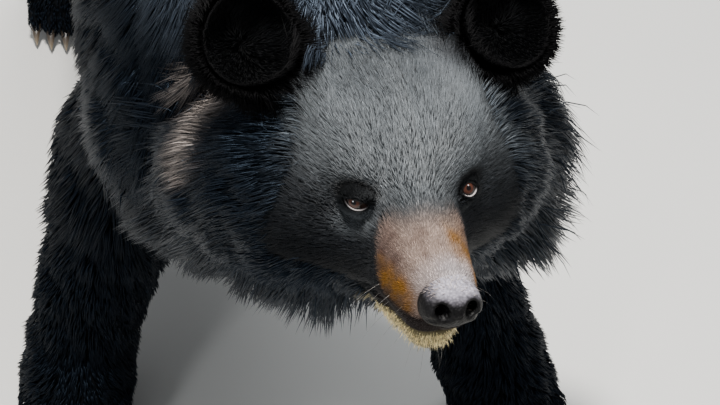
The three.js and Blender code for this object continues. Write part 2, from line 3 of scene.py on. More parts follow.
import bmesh
import bpy
import numpy as np
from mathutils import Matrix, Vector


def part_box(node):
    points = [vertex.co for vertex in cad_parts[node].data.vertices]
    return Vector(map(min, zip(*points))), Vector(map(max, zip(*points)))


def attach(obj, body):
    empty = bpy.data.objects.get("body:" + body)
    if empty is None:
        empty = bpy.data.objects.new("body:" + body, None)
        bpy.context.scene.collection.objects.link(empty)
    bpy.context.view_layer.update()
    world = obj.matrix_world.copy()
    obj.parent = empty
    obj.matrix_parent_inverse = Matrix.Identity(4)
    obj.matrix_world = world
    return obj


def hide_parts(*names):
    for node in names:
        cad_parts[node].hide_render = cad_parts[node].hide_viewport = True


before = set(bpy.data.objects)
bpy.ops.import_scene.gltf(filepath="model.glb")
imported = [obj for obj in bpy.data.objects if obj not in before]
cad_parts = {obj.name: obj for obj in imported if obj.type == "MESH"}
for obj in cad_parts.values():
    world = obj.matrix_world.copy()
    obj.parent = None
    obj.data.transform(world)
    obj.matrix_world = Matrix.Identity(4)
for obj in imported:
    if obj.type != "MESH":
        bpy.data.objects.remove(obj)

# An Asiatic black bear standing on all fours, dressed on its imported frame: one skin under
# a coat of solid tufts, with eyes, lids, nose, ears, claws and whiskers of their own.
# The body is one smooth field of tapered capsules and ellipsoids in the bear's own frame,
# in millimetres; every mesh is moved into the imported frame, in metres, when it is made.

bl_info = {
    "name": "Asiatic black bear",
    "version": (1, 0, 0),
    "blender": (4, 5, 0),
    "location": "3D View > Sidebar > Bear",
    "description": "Skin, coat, face and claws of a standing bear, round its packed frame",
    "category": "Add Mesh",
}

MM = 0.001
BODY = "root"
SIDES = {"right": -1, "left": 1}


def linear(hex_colour, alpha=1.0):
    """An sRGB hex colour as linear red, green, blue and alpha."""
    channels = [int(hex_colour[i : i + 2], 16) / 255 for i in (0, 2, 4)]
    curve = [c / 12.92 if c <= 0.04045 else ((c + 0.055) / 1.055) ** 2.4 for c in channels]
    return (*curve, alpha)


# ---------------------------------------------------------------- sizes and colours


def length(name, description, default):
    """A length in metres."""
    return bpy.props.FloatProperty(
        name=name, description=description, default=default, min=0.0, unit="LENGTH"
    )


def share(name, description, default):
    """A share, from 0 to 2."""
    return bpy.props.FloatProperty(
        name=name, description=description, default=default, min=0.0, max=2.0, subtype="FACTOR"
    )


def colour(name, description, hex_colour):
    """A colour with its alpha, from sRGB hex."""
    return bpy.props.FloatVectorProperty(
        name=name,
        description=description,
        default=linear(hex_colour),
        size=4,
        min=0.0,
        max=1.0,
        subtype="COLOR",
    )


class BearSizes(bpy.types.PropertyGroup):
    """Lengths of hair and the sizes of the small parts."""

    face_hair: length("Face hair", "Length of the short hair on forehead and cheeks", 0.010)
    ruff_hair: length("Ruff hair", "Length of the hair round the neck", 0.092)
    nape_hair: length("Nape hair", "Length of the hair on nape and withers", 0.050)
    body_hair: length("Body hair", "Length of the hair on back, flanks and rump", 0.042)
    leg_hair: length("Leg hair", "Length of the hair on the lower legs", 0.021)
    ear_hair: length("Ear hair", "Length of the plush on the ears", 0.010)
    density: share("Density", "Share of the full number of tufts that is grown", 1.0)
    skin_step: length("Skin grid", "Grid step of the skin before the head is refined", 0.008)
    lid_opening: share("Lid opening", "How far the eyelids stand open", 1.0)
    whisker: length("Whisker", "Length of the longest whiskers", 0.062)
    floor: length("Floor", "Width of the studio floor", 14.0)


class BearColours(bpy.types.PropertyGroup):
    """Colours of coat, skin, horn and stage."""

    coat: colour("Coat", "Black guard hair", "070a0f")
    # sheen is painted sheen: the cool light that the black hair of nape and withers gives back, laid
    # into the colour
    sheen: colour("Sheen", "Hair of nape and withers, with its cool cast", "66707e")
    # face is painted sheen: the grey that light from above gives the black hair of the forehead
    face: colour("Face", "Short hair of the forehead", "4d5154")
    cheek: colour("Cheek", "Short hair of the cheeks", "13161a")
    # faded: the brown-grey of a paler streak behind the right cheek
    faded: colour("Faded", "Sun-faded hair behind the cheek", "7f7670")
    tan: colour("Tan", "Short hair on top of the muzzle", "8c7a70")
    umber: colour("Umber", "Darker flecks of the muzzle", "4c3a34")
    ochre: colour("Ochre", "Short hair beside the lips", "775013")
    cream: colour("Cream", "Hair of chin and breast mark", "e4d3a0")
    rust: colour("Rust", "Hair of the ear's rim", "1f1513")
    hide: colour("Hide", "Bare dark skin of lids and lips", "0a0b0c")
    leather: colour("Nose leather", "Skin of the nose pad", "0b0a0b")
    iris: colour("Iris", "Amber-brown of the eye", "46261a")
    horn: colour("Horn", "Claws", "3a322a")
    floor: colour("Floor", "Studio floor", "d9d8d4")


# Small markings that keep their colours whatever the coat's are, among them painted sheen, painted
# highlight and painted shade.
# the pale fur behind the nose pad is partly short pale hair and partly painted sheen of the light
# from above
NOSE_FUR_SHEEN = linear("aca6a9")  # thin grey fur behind the nose pad
DUSK = linear("2e1a10")  # mottles in the ochre
LIP = linear("1d1413")
# painted highlight along the wet inner edge of the lower lid
LID_RIM_HIGHLIGHT = linear("cfc6c4")  # wet edge of the lower lid
# painted sheen on the nose pad's top, which faces the light from above
NOSE_TOP_SHEEN = linear("8a8690")  # dry top of the nose pad
# painted shade deep in the nostrils
NOSTRIL_SHADE = linear("030303")
PUPIL, LIMBUS = linear("050304"), linear("0d0604")
EYE_CORNER, EYE_BACK = linear("2a1c18"), linear("1c1210")
GREY_WHISKER = linear("8e8a85")
CLAW_TIP = linear("8b7d68")
STUDIO_SKY = linear("e9edf2")
WHITE_GLINT, GREY_GLINT = linear("ffffff"), linear("dfe4ea")
BLUE_GLINT = linear("b0d0f4")  # the cold light that black guard hairs give back


# ---------------------------------------------------------------- the field


def unit(v):
    """Directions of length 1."""
    v = np.asarray(v, float)
    return v / np.maximum(np.linalg.norm(v, axis=-1, keepdims=True), 1e-9)


def turn(axis, degrees):
    """The matrix that turns about an axis, 0 for X, 1 for Y and 2 for Z."""
    c, s = math.cos(math.radians(degrees)), math.sin(math.radians(degrees))
    m = np.eye(3)
    u, w = (axis + 1) % 3, (axis + 2) % 3
    m[u, u] = m[w, w] = c
    m[w, u], m[u, w] = s, -s
    return m


def smooth(x, low, high):
    """From 0 at low to 1 at high, with soft ends."""
    t = np.clip((x - low) / (high - low), 0, 1)
    return t * t * (3 - 2 * t)


def cone(a, ra, b, rb):
    """Distance to a capsule from a to b whose radius runs from ra to rb."""
    a, ab = np.array(a, np.float32), np.array(b, np.float32) - np.array(a, np.float32)

    def distance(p):
        q = p - a
        t = np.clip(q @ ab / (ab @ ab), 0, 1)
        return np.linalg.norm(q - t[:, None] * ab, axis=1) - (ra + (rb - ra) * t)

    return distance


def ball(centre, radii, pitch=0, yaw=0):
    """Distance, nearly, to an ellipsoid that is pitched about X and then turned about Z."""
    rotation = (turn(2, yaw) @ turn(0, pitch)).astype(np.float32)
    centre, radii = np.array(centre, np.float32), np.array(radii, np.float32)

    def distance(p):
        q = (p - centre) @ rotation / radii
        k0 = np.linalg.norm(q, axis=1)
        k1 = np.linalg.norm(q / radii, axis=1)
        return np.where(k1 < 1e-9, -radii.min(), k0 * (k0 - 1) / np.maximum(k1, 1e-9))

    return distance


def melt(d1, d2, k):
    """The lesser of two distances, rounded where they meet over a width k."""
    h = np.maximum(k - np.abs(d1 - d2), 0) / k
    return np.minimum(d1, d2) - h * h * k / 4


def melted(parts):
    """One field from several, each (field, blend width)."""

    def distance(p):
        d = parts[0][0](p)
        for part, k in parts[1:]:
            d = melt(d, part(p), k)
        return d

    return distance


def mirrored(part):
    """The same field on both sides."""
    return lambda p: part(np.concatenate([np.abs(p[:, :1]), p[:, 1:]], axis=1))


# The head hangs in front of the chest, a little to the left, raised and tipped.
HEAD_AT = np.array([78, -225, 540])
HEAD_TURN = turn(2, 7) @ turn(0, -7) @ turn(1, 9)

# Head frame: origin between the eyes, +X to the bear's left, -Y along the muzzle.
EYE_AT = np.array([46.5, -11, -14.5])
EYE_FACING = unit([0.4, -0.89, 0.2])
EYE_R = 11.5
NOSE_AT = np.array([1.5, -103, -52])
EAR_AT = np.array([116, 100, 75])
EAR_FACING = unit([-0.04, -0.83, 0.56])
EAR_R, EAR_DEPTH = 50, 26
MOUTH_CENTRE_Y, MOUTH_TURN, MOUTH_CORNER_Z, MOUTH_FRONT_Z = -42, 112, -96, -86

RUFF_AT, RUFF_PITCH, RUFF_TURN = np.array([82, -96, 440]), -6, 8
RUFF_FORM = (185, 88, 127)  # half-way from the ruff's core to its tips
TAIL_AT = np.array([0, 1032, 560])

LEGS = {
    "fore_right": ([(-72, 60, 500), (-133, 122, 330), (-216, 82, 92), (-232, 38, 42)], -4),
    "fore_left": ([(76, 25, 500), (140, 70, 330), (224, -18, 92), (238, -60, 42)], 4),
    "hind_right": ([(-82, 890, 560), (-128, 838, 360), (-176, 908, 100), (-184, 842, 42)], -6),
    "hind_left": ([(82, 900, 560), (124, 862, 355), (166, 982, 100), (174, 918, 42)], 6),
}
LEG_RADII = {"fore": (92, 74, 61), "hind": (146, 94, 60)}
PAW = {
    "fore": {"length": 140, "width": 122, "height": 96, "toe": 26, "spread": 24, "claw": 44},
    "hind": {"length": 186, "width": 112, "height": 92, "toe": 23, "spread": 21.5, "claw": 32},
}
CLAW_R = 7.5
SOLE_Z = 1.5  # how high the pads' skin lies over the floor
SOLE_EDGE_Z = 7  # the pads are bare up to here

skull = melted(
    [
        (mirrored(ball((17, 68, 6), (68, 89, 70), -8)), 10),  # cranium
        (ball((0, 20, 4), (52, 50, 37), 20), 28),  # forehead
        (mirrored(ball((64, 74, -50), (62, 66, 68), 0, -14)), 50),  # cheeks
        (mirrored(cone((84, 76, -44), 54, (116, 122, -66), 50)), 60),  # muff behind the cheeks
        (mirrored(cone((54, 44, -58), 46, (30, -14, -66), 27)), 36),  # jaw muscles
        (mirrored(ball((32, 6, 6), (27, 20, 12))), 16),  # brows
        (mirrored(cone((62, 88, 28), 32, (102, 112, 52), 26)), 24),  # ear roots
        (cone((0, 0, -40), 46, (0, -80, -55), 33), 26),  # muzzle
        (mirrored(cone((14, -48, -64), 26, (11, -92, -68), 20)), 14),  # upper lips
        (cone((0, 10, -86), 38, (0, -80, -97), 20), 14),  # lower jaw and chin
        (mirrored(cone((32, -8, -86), 12, (26, -42, -91), 9)), 8),  # corners of the mouth
    ]
)


def kind_of(leg):
    """Fore or hind."""
    return leg.split("_")[0]


def toe_tips(leg):
    """The five toe tips of a paw, in an arc."""
    joints, heading = LEGS[leg]
    paw = PAW[kind_of(leg)]
    i = np.arange(-2, 3)
    tips = np.stack([i * paw["spread"], -(paw["length"] / 2 - 4 - 4.5 * i * i), 0 * i], axis=1)
    return tips @ turn(2, heading).T + [joints[3][0], joints[3][1], paw["toe"]]


def leg_field(leg):
    """A leg from shoulder or hip down to its paw and toes."""
    joints, heading = LEGS[leg]
    paw = PAW[kind_of(leg)]
    top, middle, low, foot = joints
    radii = LEG_RADII[kind_of(leg)]
    pad = ball(
        (foot[0], foot[1] + paw["length"] * 0.04, paw["height"] * 0.42),
        (paw["width"] / 2, paw["length"] * 0.46, paw["height"] * 0.58),
        0,
        heading,
    )
    toe = np.array([paw["toe"] * 0.56, paw["length"] * 0.2, paw["toe"] * 0.95])
    back = turn(2, heading) @ turn(0, 14) @ [0, paw["length"] * 0.17, 4]
    return melted(
        [
            (cone(top, radii[0], middle, radii[1]), 10),
            (cone(middle, radii[1], low, radii[2]), 36),
            (pad, 44),
            *[(ball(tip + back, toe, 14, heading), 6) for tip in toe_tips(leg)],
        ]
    )


ruff_form = melted(
    [
        (ball(RUFF_AT, RUFF_FORM, RUFF_PITCH, RUFF_TURN), 10),
        (ball((187, -122, 400), (60, 56, 64)), 40),  # its lobe over the left shoulder
    ]
)

body = melted(
    [
        (ball((0, 190, 510), (176, 260, 226), 4), 10),  # ribs
        (ball((0, 150, 655), (100, 170, 100), 8), 90),  # withers
        (ball((0, 520, 494), (178, 320, 210)), 120),  # belly
        (ball((0, 830, 545), (172, 215, 192), -14), 120),  # rump
        (ball((5, -4, 430), (184, 116, 152)), 60),  # breast
        (
            melted(
                [
                    (cone((8, 110, 592), 158, (54, -26, 560), 106), 10),  # neck
                    (ruff_form, 50),
                ]
            ),
            70,
        ),
        *[(leg_field(leg), 44) for leg in LEGS],
        (ball(TAIL_AT, (34, 30, 62), 24), 24),
    ]
)


def to_head(p):
    """Places in the head's frame."""
    return ((p - HEAD_AT) @ HEAD_TURN).astype(np.float32)


def from_head(q):
    """Places of the head's frame in the bear's."""
    return np.asarray(q) @ HEAD_TURN.T + HEAD_AT


def head_way(direction):
    """A direction of the head frame in the bear's."""
    return np.asarray(direction) @ HEAD_TURN.T


def zones(p):
    """The field out to the coat's tips, and how far each place belongs to the head, the
    ruff, a lower leg, a paw and the muzzle, each from 0 to 1."""
    p = np.asarray(p, np.float32)
    q = to_head(p)
    d_head, d_body = skull(q), body(p)
    head = smooth(d_body - d_head, -14, 14)
    ruff = (1 - head) * (1 - smooth(ruff_form(p), 4, 40))
    low = 1 - smooth(p[:, 2], 200, 320)
    paw = 1 - smooth(p[:, 2], 60, 112)
    muzzle = head * (1 - smooth(q[:, 1], -52, -24))
    return melt(d_head, d_body, 56), q, head, ruff, low, paw, muzzle


def depth_of(p):
    """How deep the skin lies under the tips of the coat."""
    form, q, head, _, low, paw, muzzle = zones(p)
    trunk_depth = 17 - 8 * low - 5 * paw
    cheek = smooth(np.abs(q[:, 0]), 60, 110) * smooth(q[:, 1], 10, 60)
    head_depth = 4.2 + 3.5 * cheek - 2.9 * muzzle
    return form, trunk_depth + (head_depth - trunk_depth) * head


ear_hollow = mirrored(ball(EAR_AT + 17 * EAR_FACING, (46, 38, 46), -34))


def carve(d1, d2, k):
    """The first field less what the second holds, rounded over a width k."""
    return -melt(-d1, d2, k)


CHUNK = 400_000  # places worked out at a time


def skin_level(p):
    """The skin's own field, zero on the skin and positive outside it. It stays out of
    the ears' bowls and above the floor."""
    p = np.asarray(p, np.float32)
    levels = []
    for start in range(0, len(p), CHUNK):
        some = p[start : start + CHUNK]
        form, depth = depth_of(some)
        level = carve(form + depth, ear_hollow(to_head(some)), 4)
        levels.append(carve(level, some[:, 2] - SOLE_Z, 6))
    return np.concatenate(levels)


def slope(field, p, e=1.5):
    """The field's outward direction."""
    steps = np.eye(3, dtype=np.float32) * e
    return unit(np.stack([field(p + s) - field(p - s) for s in steps], axis=1))


def settle(field, p, rounds=3):
    """Places moved on to the field's zero surface."""
    for _ in range(rounds):
        p = p - slope(field, p) * field(p)[:, None]
    return p


def surface_from(field, start, direction):
    """Where rays from inside a field meet its surface."""
    p = np.array(start, float)
    for _ in range(40):
        p = p - 0.8 * direction * field(p)[:, None]
    return p


# ---------------------------------------------------------------- surfaces from fields

CORNERS = np.array([[c & 1, c >> 1 & 1, c >> 2 & 1] for c in range(8)])
CELL_EDGES = [(a, a | bit) for a in range(8) for bit in (1, 2, 4) if not a & bit]


def grid_values(field, low, high, step):
    """Field values on a grid. Far from the surface only every third line is worked out."""
    low = np.array(low, np.float32)
    count = (np.ceil((np.array(high) - low) / step / 3).astype(int)) * 3 + 1

    def places(n, s):
        axes = [low[i] + s * np.arange(n[i], dtype=np.float32) for i in range(3)]
        return np.stack(np.meshgrid(*axes, indexing="ij"), axis=-1).reshape(-1, 3)

    coarse_count = (count - 1) // 3 + 1
    coarse = field(places(coarse_count, 3 * step)).reshape(coarse_count)
    value = np.repeat(np.repeat(np.repeat(coarse, 3, 0), 3, 1), 3, 2)[1:-1, 1:-1, 1:-1]
    near = np.abs(value).reshape(-1) < 4.5 * step
    value = value.reshape(-1).copy()
    value[near] = field(places(count, step)[near])
    return value.reshape(count), low


def surface_net(field, low, high, step):
    """Quads over the field's zero surface: a vertex in each grid cell that it passes."""
    value, low = grid_values(field, low, high, step)
    inside = value < 0
    shape = inside.shape
    corners = [inside[tuple(slice(c, n - 1 + c) for c, n in zip(k, shape))] for k in CORNERS]
    crossed = np.logical_or.reduce(corners) & ~np.logical_and.reduce(corners)
    cells = np.argwhere(crossed)
    v = np.stack([value[tuple((cells + k).T)] for k in CORNERS], axis=1)
    total, hits = np.zeros((len(cells), 3)), np.zeros(len(cells))
    for a, b in CELL_EDGES:
        cut = (v[:, a] < 0) != (v[:, b] < 0)
        t = v[cut, a] / (v[cut, a] - v[cut, b])
        total[cut] += CORNERS[a] + t[:, None] * (CORNERS[b] - CORNERS[a])
        hits[cut] += 1
    points = low + step * (cells + total / hits[:, None])

    index = np.full(crossed.shape, -1)
    index[crossed] = np.arange(len(cells))
    quads = []
    for axis in range(3):
        u, w = (axis + 1) % 3, (axis + 2) % 3
        here = inside[tuple(slice(0, -1) if i == axis else slice(1, -1) for i in range(3))]
        there = inside[tuple(slice(1, None) if i == axis else slice(1, -1) for i in range(3))]
        edges = np.argwhere(here != there)
        starts_inside = here[tuple(edges.T)]
        edges = edges + [0 if i == axis else 1 for i in range(3)]
        ring = []
        for du, dw in ((1, 1), (0, 1), (0, 0), (1, 0)):
            cell = edges.copy()
            cell[:, u] -= du
            cell[:, w] -= dw
            ring.append(index[tuple(cell.T)])
        quad = np.stack(ring, axis=1)
        quad[~starts_inside] = quad[~starts_inside, ::-1]
        quads.append(quad)
    return settle(field, points, 2), np.concatenate(quads)


# ---------------------------------------------------------------- meshes and materials

SHIFT = np.array((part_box("tail")[0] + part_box("tail")[1]) / 2) / MM - TAIL_AT


def to_frame(p):
    """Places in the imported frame, in metres."""
    return (np.asarray(p, float) + SHIFT) * MM


def new_mesh(name, points, faces):
    """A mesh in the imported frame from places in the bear's frame, and faces of one size."""
    mesh = bpy.data.meshes.new(name)
    faces = np.asarray(faces, np.int32)
    mesh.vertices.add(len(points))
    mesh.vertices.foreach_set("co", to_frame(points).astype(np.float32).ravel())
    mesh.loops.add(faces.size)
    mesh.loops.foreach_set("vertex_index", faces.ravel())
    mesh.polygons.add(len(faces))
    starts = np.arange(0, faces.size, faces.shape[1], dtype=np.int32)
    mesh.polygons.foreach_set("loop_start", starts)
    mesh.update(calc_edges=True)
    mesh.shade_smooth()
    return mesh


def ring_faces(rings, sides, closed_path=False):
    """Triangles over rings of points. Two more points, after the rings, close the ends,
    unless the last ring joins the first."""
    at = np.arange(rings * sides).reshape(rings, sides)
    low = at if closed_path else at[:-1]
    high = np.roll(at, -1, axis=0) if closed_path else at[1:]
    a, b = low, np.roll(low, -1, axis=1)
    c, d = np.roll(high, -1, axis=1), high
    faces = [np.stack(f, axis=-1).reshape(-1, 3) for f in ((a, b, c), (a, c, d))]
    if not closed_path:
        first, last, n = at[0], at[-1], rings * sides
        faces.append(np.stack([np.roll(first, -1), first, np.full(sides, n)], axis=1))
        faces.append(np.stack([last, np.roll(last, -1), np.full(sides, n + 1)], axis=1))
    return np.concatenate(faces)


def outward_mesh(name, points, faces):
    """A closed mesh with its faces turned outwards."""
    a, b, c = (np.asarray(points)[faces[:, i]] for i in range(3))
    volume = np.sum(a * np.cross(b, c))
    return new_mesh(name, points, faces if volume > 0 else faces[:, ::-1])


def across_of(axis):
    """Two directions square to an axis: sideways, and up from it."""
    side = unit(np.cross([0, 0, 1.0], -axis))
    return side, np.cross(-axis, side)


def paint(mesh, name, values):
    """Stores a colour or a number at each vertex."""
    kind = "FLOAT_COLOR" if values.ndim == 2 else "FLOAT"
    layer = mesh.attributes.new(name, kind, "POINT")
    layer.data.foreach_set(
        "color" if values.ndim == 2 else "value", np.asarray(values, np.float32).ravel()
    )


def new_piece(mesh, material, replaces=()):
    """Links a finished mesh as a piece of the bear."""
    piece = bpy.data.objects.new(mesh.name, mesh)
    bpy.context.scene.collection.objects.link(piece)
    mesh.materials.clear()
    mesh.materials.append(material)
    if replaces:
        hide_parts(*replaces)
    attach(piece, BODY)
    return piece


def vertices_of(mesh):
    """A mesh's vertices in the bear's own frame."""
    co = np.empty(len(mesh.vertices) * 3, np.float32)
    mesh.vertices.foreach_get("co", co)
    return co.reshape(-1, 3) / MM - SHIFT


def add_node(tree, kind, settings=(), **links):
    """A node with its settings; links name an input by its words with _ for spaces, or
    by i and its number, and give a value or another node's socket."""
    node = tree.nodes.new(kind)
    for key, value in dict(settings).items():
        setattr(node, key, value)
    for key, value in links.items():
        numbered = key[0] == "i" and key[1:].isdigit()
        socket = node.inputs[int(key[1:]) if numbered else key.replace("_", " ")]
        if isinstance(value, bpy.types.NodeSocket):
            tree.links.new(value, socket)
        else:
            socket.default_value = value
    return node


def new_material(name, **surface):
    """A material with one principled shader, and its node tree."""
    material = bpy.data.materials.new(name)
    material.use_nodes = True
    tree = material.node_tree
    tree.nodes.clear()
    shader = add_node(tree, "ShaderNodeBsdfPrincipled", **surface)
    output = add_node(tree, "ShaderNodeOutputMaterial")
    tree.links.new(shader.outputs[0], output.inputs["Surface"])
    return material, tree, shader


def read_colours(tree):
    """The painted coat colour of a place."""
    return add_node(tree, "ShaderNodeAttribute", {"attribute_name": "markings"}).outputs["Color"]


def coordinates(tree):
    """Places in the piece's own frame, in metres."""
    return add_node(tree, "ShaderNodeTexCoord").outputs["Object"]


def varied(tree, tint, factor, low, high):
    """A colour made darker and lighter by a factor from 0 to 1."""
    scale = add_node(tree, "ShaderNodeMapRange", i0=factor, i3=low, i4=high).outputs["Result"]
    scaling = {"operation": "SCALE"}
    return add_node(tree, "ShaderNodeVectorMath", scaling, i0=tint, Scale=scale).outputs["Vector"]


def noise(tree, vector, grain_mm, detail=2.0, roughness=0.5):
    """Noise whose grains are some millimetres wide."""
    settings = {"Scale": 1 / (grain_mm * MM), "Detail": detail, "Roughness": roughness}
    return add_node(tree, "ShaderNodeTexNoise", Vector=vector, **settings).outputs["Fac"]


def plain_colour(tree, tint):
    """A colour as a socket."""
    socket = add_node(tree, "ShaderNodeRGB").outputs[0]
    socket.default_value = tint
    return socket


def add_bump(tree, shader, height, depth_mm):
    """Lets a height from 0 to 1 stand out on the surface, by a depth at the most."""
    distance = depth_mm * MM
    node = add_node(tree, "ShaderNodeBump", Height=height, Distance=distance, Strength=1.0)
    tree.links.new(node.outputs["Normal"], shader.inputs["Normal"])


def hair_material(name, roughness, gloss, low=0.4, high=1.6, glint=WHITE_GLINT):
    """Hair in tufts: darker at the root and lighter to the tip, as painted shade deep in the coat
    and painted sheen at the tips, and no two tufts alike. Each hair is a smooth round rod, so it
    glints along its length and stays dark beside it."""
    material, tree, shader = new_material(
        name,
        Roughness=roughness,
        IOR=1.55,  # keratin
        Specular_IOR_Level=gloss,
        Specular_Tint=glint,
    )
    along = add_node(tree, "ShaderNodeAttribute", {"attribute_name": "along"}).outputs["Fac"]
    stray = add_node(tree, "ShaderNodeAttribute", {"attribute_name": "stray"}).outputs["Fac"]
    # painted shade at the roots and painted sheen towards the tips
    tint = varied(tree, read_colours(tree), along, low, high)
    tint = varied(tree, tint, stray, 0.6, 1.4)
    patches = noise(tree, coordinates(tree), 45.45)
    tint = varied(tree, tint, patches, 0.7, 1.3)
    tree.links.new(tint, shader.inputs["Base Color"])
    return material


def skin_material():
    """Black hide under the coat, with the down between the hairs: matt and finely rough,
    so that it reads as more fur wherever the tufts leave it bare."""
    material, tree, shader = new_material(
        "downy_black_hide", Roughness=0.85, Specular_IOR_Level=0.08
    )
    place = coordinates(tree)
    tint = varied(tree, read_colours(tree), noise(tree, place, 2.381, 4.0), 0.35, 0.9)
    tree.links.new(tint, shader.inputs["Base Color"])
    add_bump(tree, shader, noise(tree, place, 1.4286, 3.0, 0.7), 1.2)
    return material


# ---------------------------------------------------------------- the skin

BODY_BOX = ((-330, -380, -20), (330, 1120, 820))
FACE_BOX = ((-175, -150, -165), (175, 150, 130))  # in the head frame
FEATURES = [  # places in the head frame with how far round them the skin is finest
    (EYE_AT, 30),
    (EYE_AT * [-1, 1, 1], 30),
    (NOSE_AT, 44),
    (np.array([0, -72, -92]), 44),
    (np.array([32, -40, -94]), 30),
    (np.array([-32, -40, -94]), 30),
]
MOUTH_POINTS, LIP_WIDTH = 61, 5.5
MUZZLE_EDGE = np.array(  # where the muzzle's side meets the cheek, on the left side
    [np.array([38 + 6 * t, -27 - 5 * t - 18 * t * t, -22 - 58 * t]) for t in np.linspace(0, 1, 13)]
)


def mouth_line(drop=0.0, share_of_turn=1.0):
    """The line of the mouth, from corner to corner round the front, in the head frame,
    or one that lies lower by a drop."""
    i = np.linspace(-1, 1, MOUTH_POINTS)
    z = MOUTH_FRONT_Z + (MOUTH_CORNER_Z - MOUTH_FRONT_Z) * np.abs(i) - drop
    angle = np.radians(i * share_of_turn * MOUTH_TURN)
    away = np.stack([np.sin(angle), -np.cos(angle), 0 * angle], axis=1)
    start = np.stack([0 * z, 0 * z + MOUTH_CENTRE_Y, z], axis=1)

    def level(q):
        return skin_level(from_head(q))

    return surface_from(level, start, away)


def in_face_box(q):
    """Which places of the head frame lie in the face's box."""
    return np.all((q > FACE_BOX[0]) & (q < FACE_BOX[1]), axis=1)


def distance_to_line(p, line):
    """Distance to the nearest point of a line."""
    return np.min([np.linalg.norm(p - point, axis=1) for point in line], axis=0)


def refine(mesh, chosen):
    """Splits each chosen face in four."""
    bm = bmesh.new()
    bm.from_mesh(mesh)
    bm.faces.ensure_lookup_table()
    edges = {edge for i in np.flatnonzero(chosen) for edge in bm.faces[int(i)].edges}
    bmesh.ops.subdivide_edges(bm, edges=list(edges), cuts=1, use_grid_fill=True)
    bm.to_mesh(mesh)
    bm.free()


def face_centres(mesh):
    """The centres of a mesh's faces in the bear's own frame."""
    co = np.empty(len(mesh.polygons) * 3, np.float32)
    mesh.polygons.foreach_get("center", co)
    return co.reshape(-1, 3) / MM - SHIFT


def set_vertices(mesh, points):
    """Moves a mesh's vertices to places in the bear's frame."""
    mesh.vertices.foreach_set("co", to_frame(points).astype(np.float32).ravel())
    mesh.update()


def build_skin(sizes, colours):
    """One closed skin from nose to tail, finer on the head and finest at its features."""
    points, quads = surface_net(skin_level, *BODY_BOX, sizes.skin_step / MM)
    mesh = new_mesh("skin", points, quads)
    q = to_head(face_centres(mesh))
    refine(mesh, in_face_box(q))
    q = to_head(face_centres(mesh))
    near = [np.linalg.norm(q - at, axis=1) < reach for at, reach in FEATURES]
    refine(mesh, np.any(near, axis=0))
    p = vertices_of(mesh)
    q = to_head(p)
    face = in_face_box(q)
    p[face] = settle(skin_level, p[face], 2)
    p[face] = p[face] + face_relief(p[face])
    set_vertices(mesh, p)
    tint = markings(p, colours)
    shaded = smooth(hair_of(p, sizes), 12, 30)  # by the long hair over it
    tint[:, :3] *= 1 - 0.65 * shaded[:, None]
    paint(mesh, "markings", tint)
    mesh.shade_smooth()
    flesh = ["chest", "belly", "rump", "neck", "head", "tail"]
    for side in SIDES:
        flesh += [f"{part}_{side}" for part in ("upper_arm", "forearm", "fore_paw")]
        flesh += [f"{part}_{side}" for part in ("thigh", "shank", "hind_paw")]
    return new_piece(mesh, skin_material(), flesh)


def bell(distance, width):
    """1 at no distance, and nearly 0 past twice the width."""
    return np.exp(-((distance / width) ** 2))


def face_relief(p):
    """The slit of the mouth and its lips, the grooves beside the muzzle, the eye sockets
    and the seat of the nose pad, as moves along the skin's own direction."""
    q = to_head(p)
    out = slope(skin_level, p)
    move = -5.0 * bell(distance_to_line(q, mouth_line()), 2.6)
    move += 1.6 * bell(distance_to_line(q, mouth_line(LIP_WIDTH, 0.96)), 3.2)
    move += 1.2 * bell(distance_to_line(q, mouth_line(-LIP_WIDTH, 0.96)), 3.5)
    for side in SIDES.values():
        move -= 5.0 * bell(distance_to_line(q, MUZZLE_EDGE * [side, 1, 1]), 8)
        eye = EYE_AT * [side, 1, 1]
        move -= 6.0 * bell(np.linalg.norm(q - eye - 6 * EYE_FACING * [side, 1, 1], axis=1), 9)
    move -= 4.5 * (1 - smooth(leather_pad(q.astype(np.float32)), -4.5, -1))
    return out * move[:, None]


# ---------------------------------------------------------------- markings and lie


# the centre of the painted sheen on the left temple, and of the black crown
LEFT_TEMPLE, LEFT_CROWN = [92, 30, 5], [52, 74, 68]  # in the head frame
# The paler brown-grey streak is drawn on a plane that faces forwards and up.
STREAK_ACROSS, STREAK_UP = [0.978, -0.208, 0], [0.139, 0.654, 0.743]
# painted shade: the chin's skin under the bristles keeps only this share of the cream, so the gaps
# between them read dark
CHIN_SHADE = 0.32  # of the cream, on the skin under the chin's bristles


def mix(a, b, weight):
    """Rows of a moved towards b by the weight of each."""
    return a + (np.asarray(b) - a) * weight[:, None]


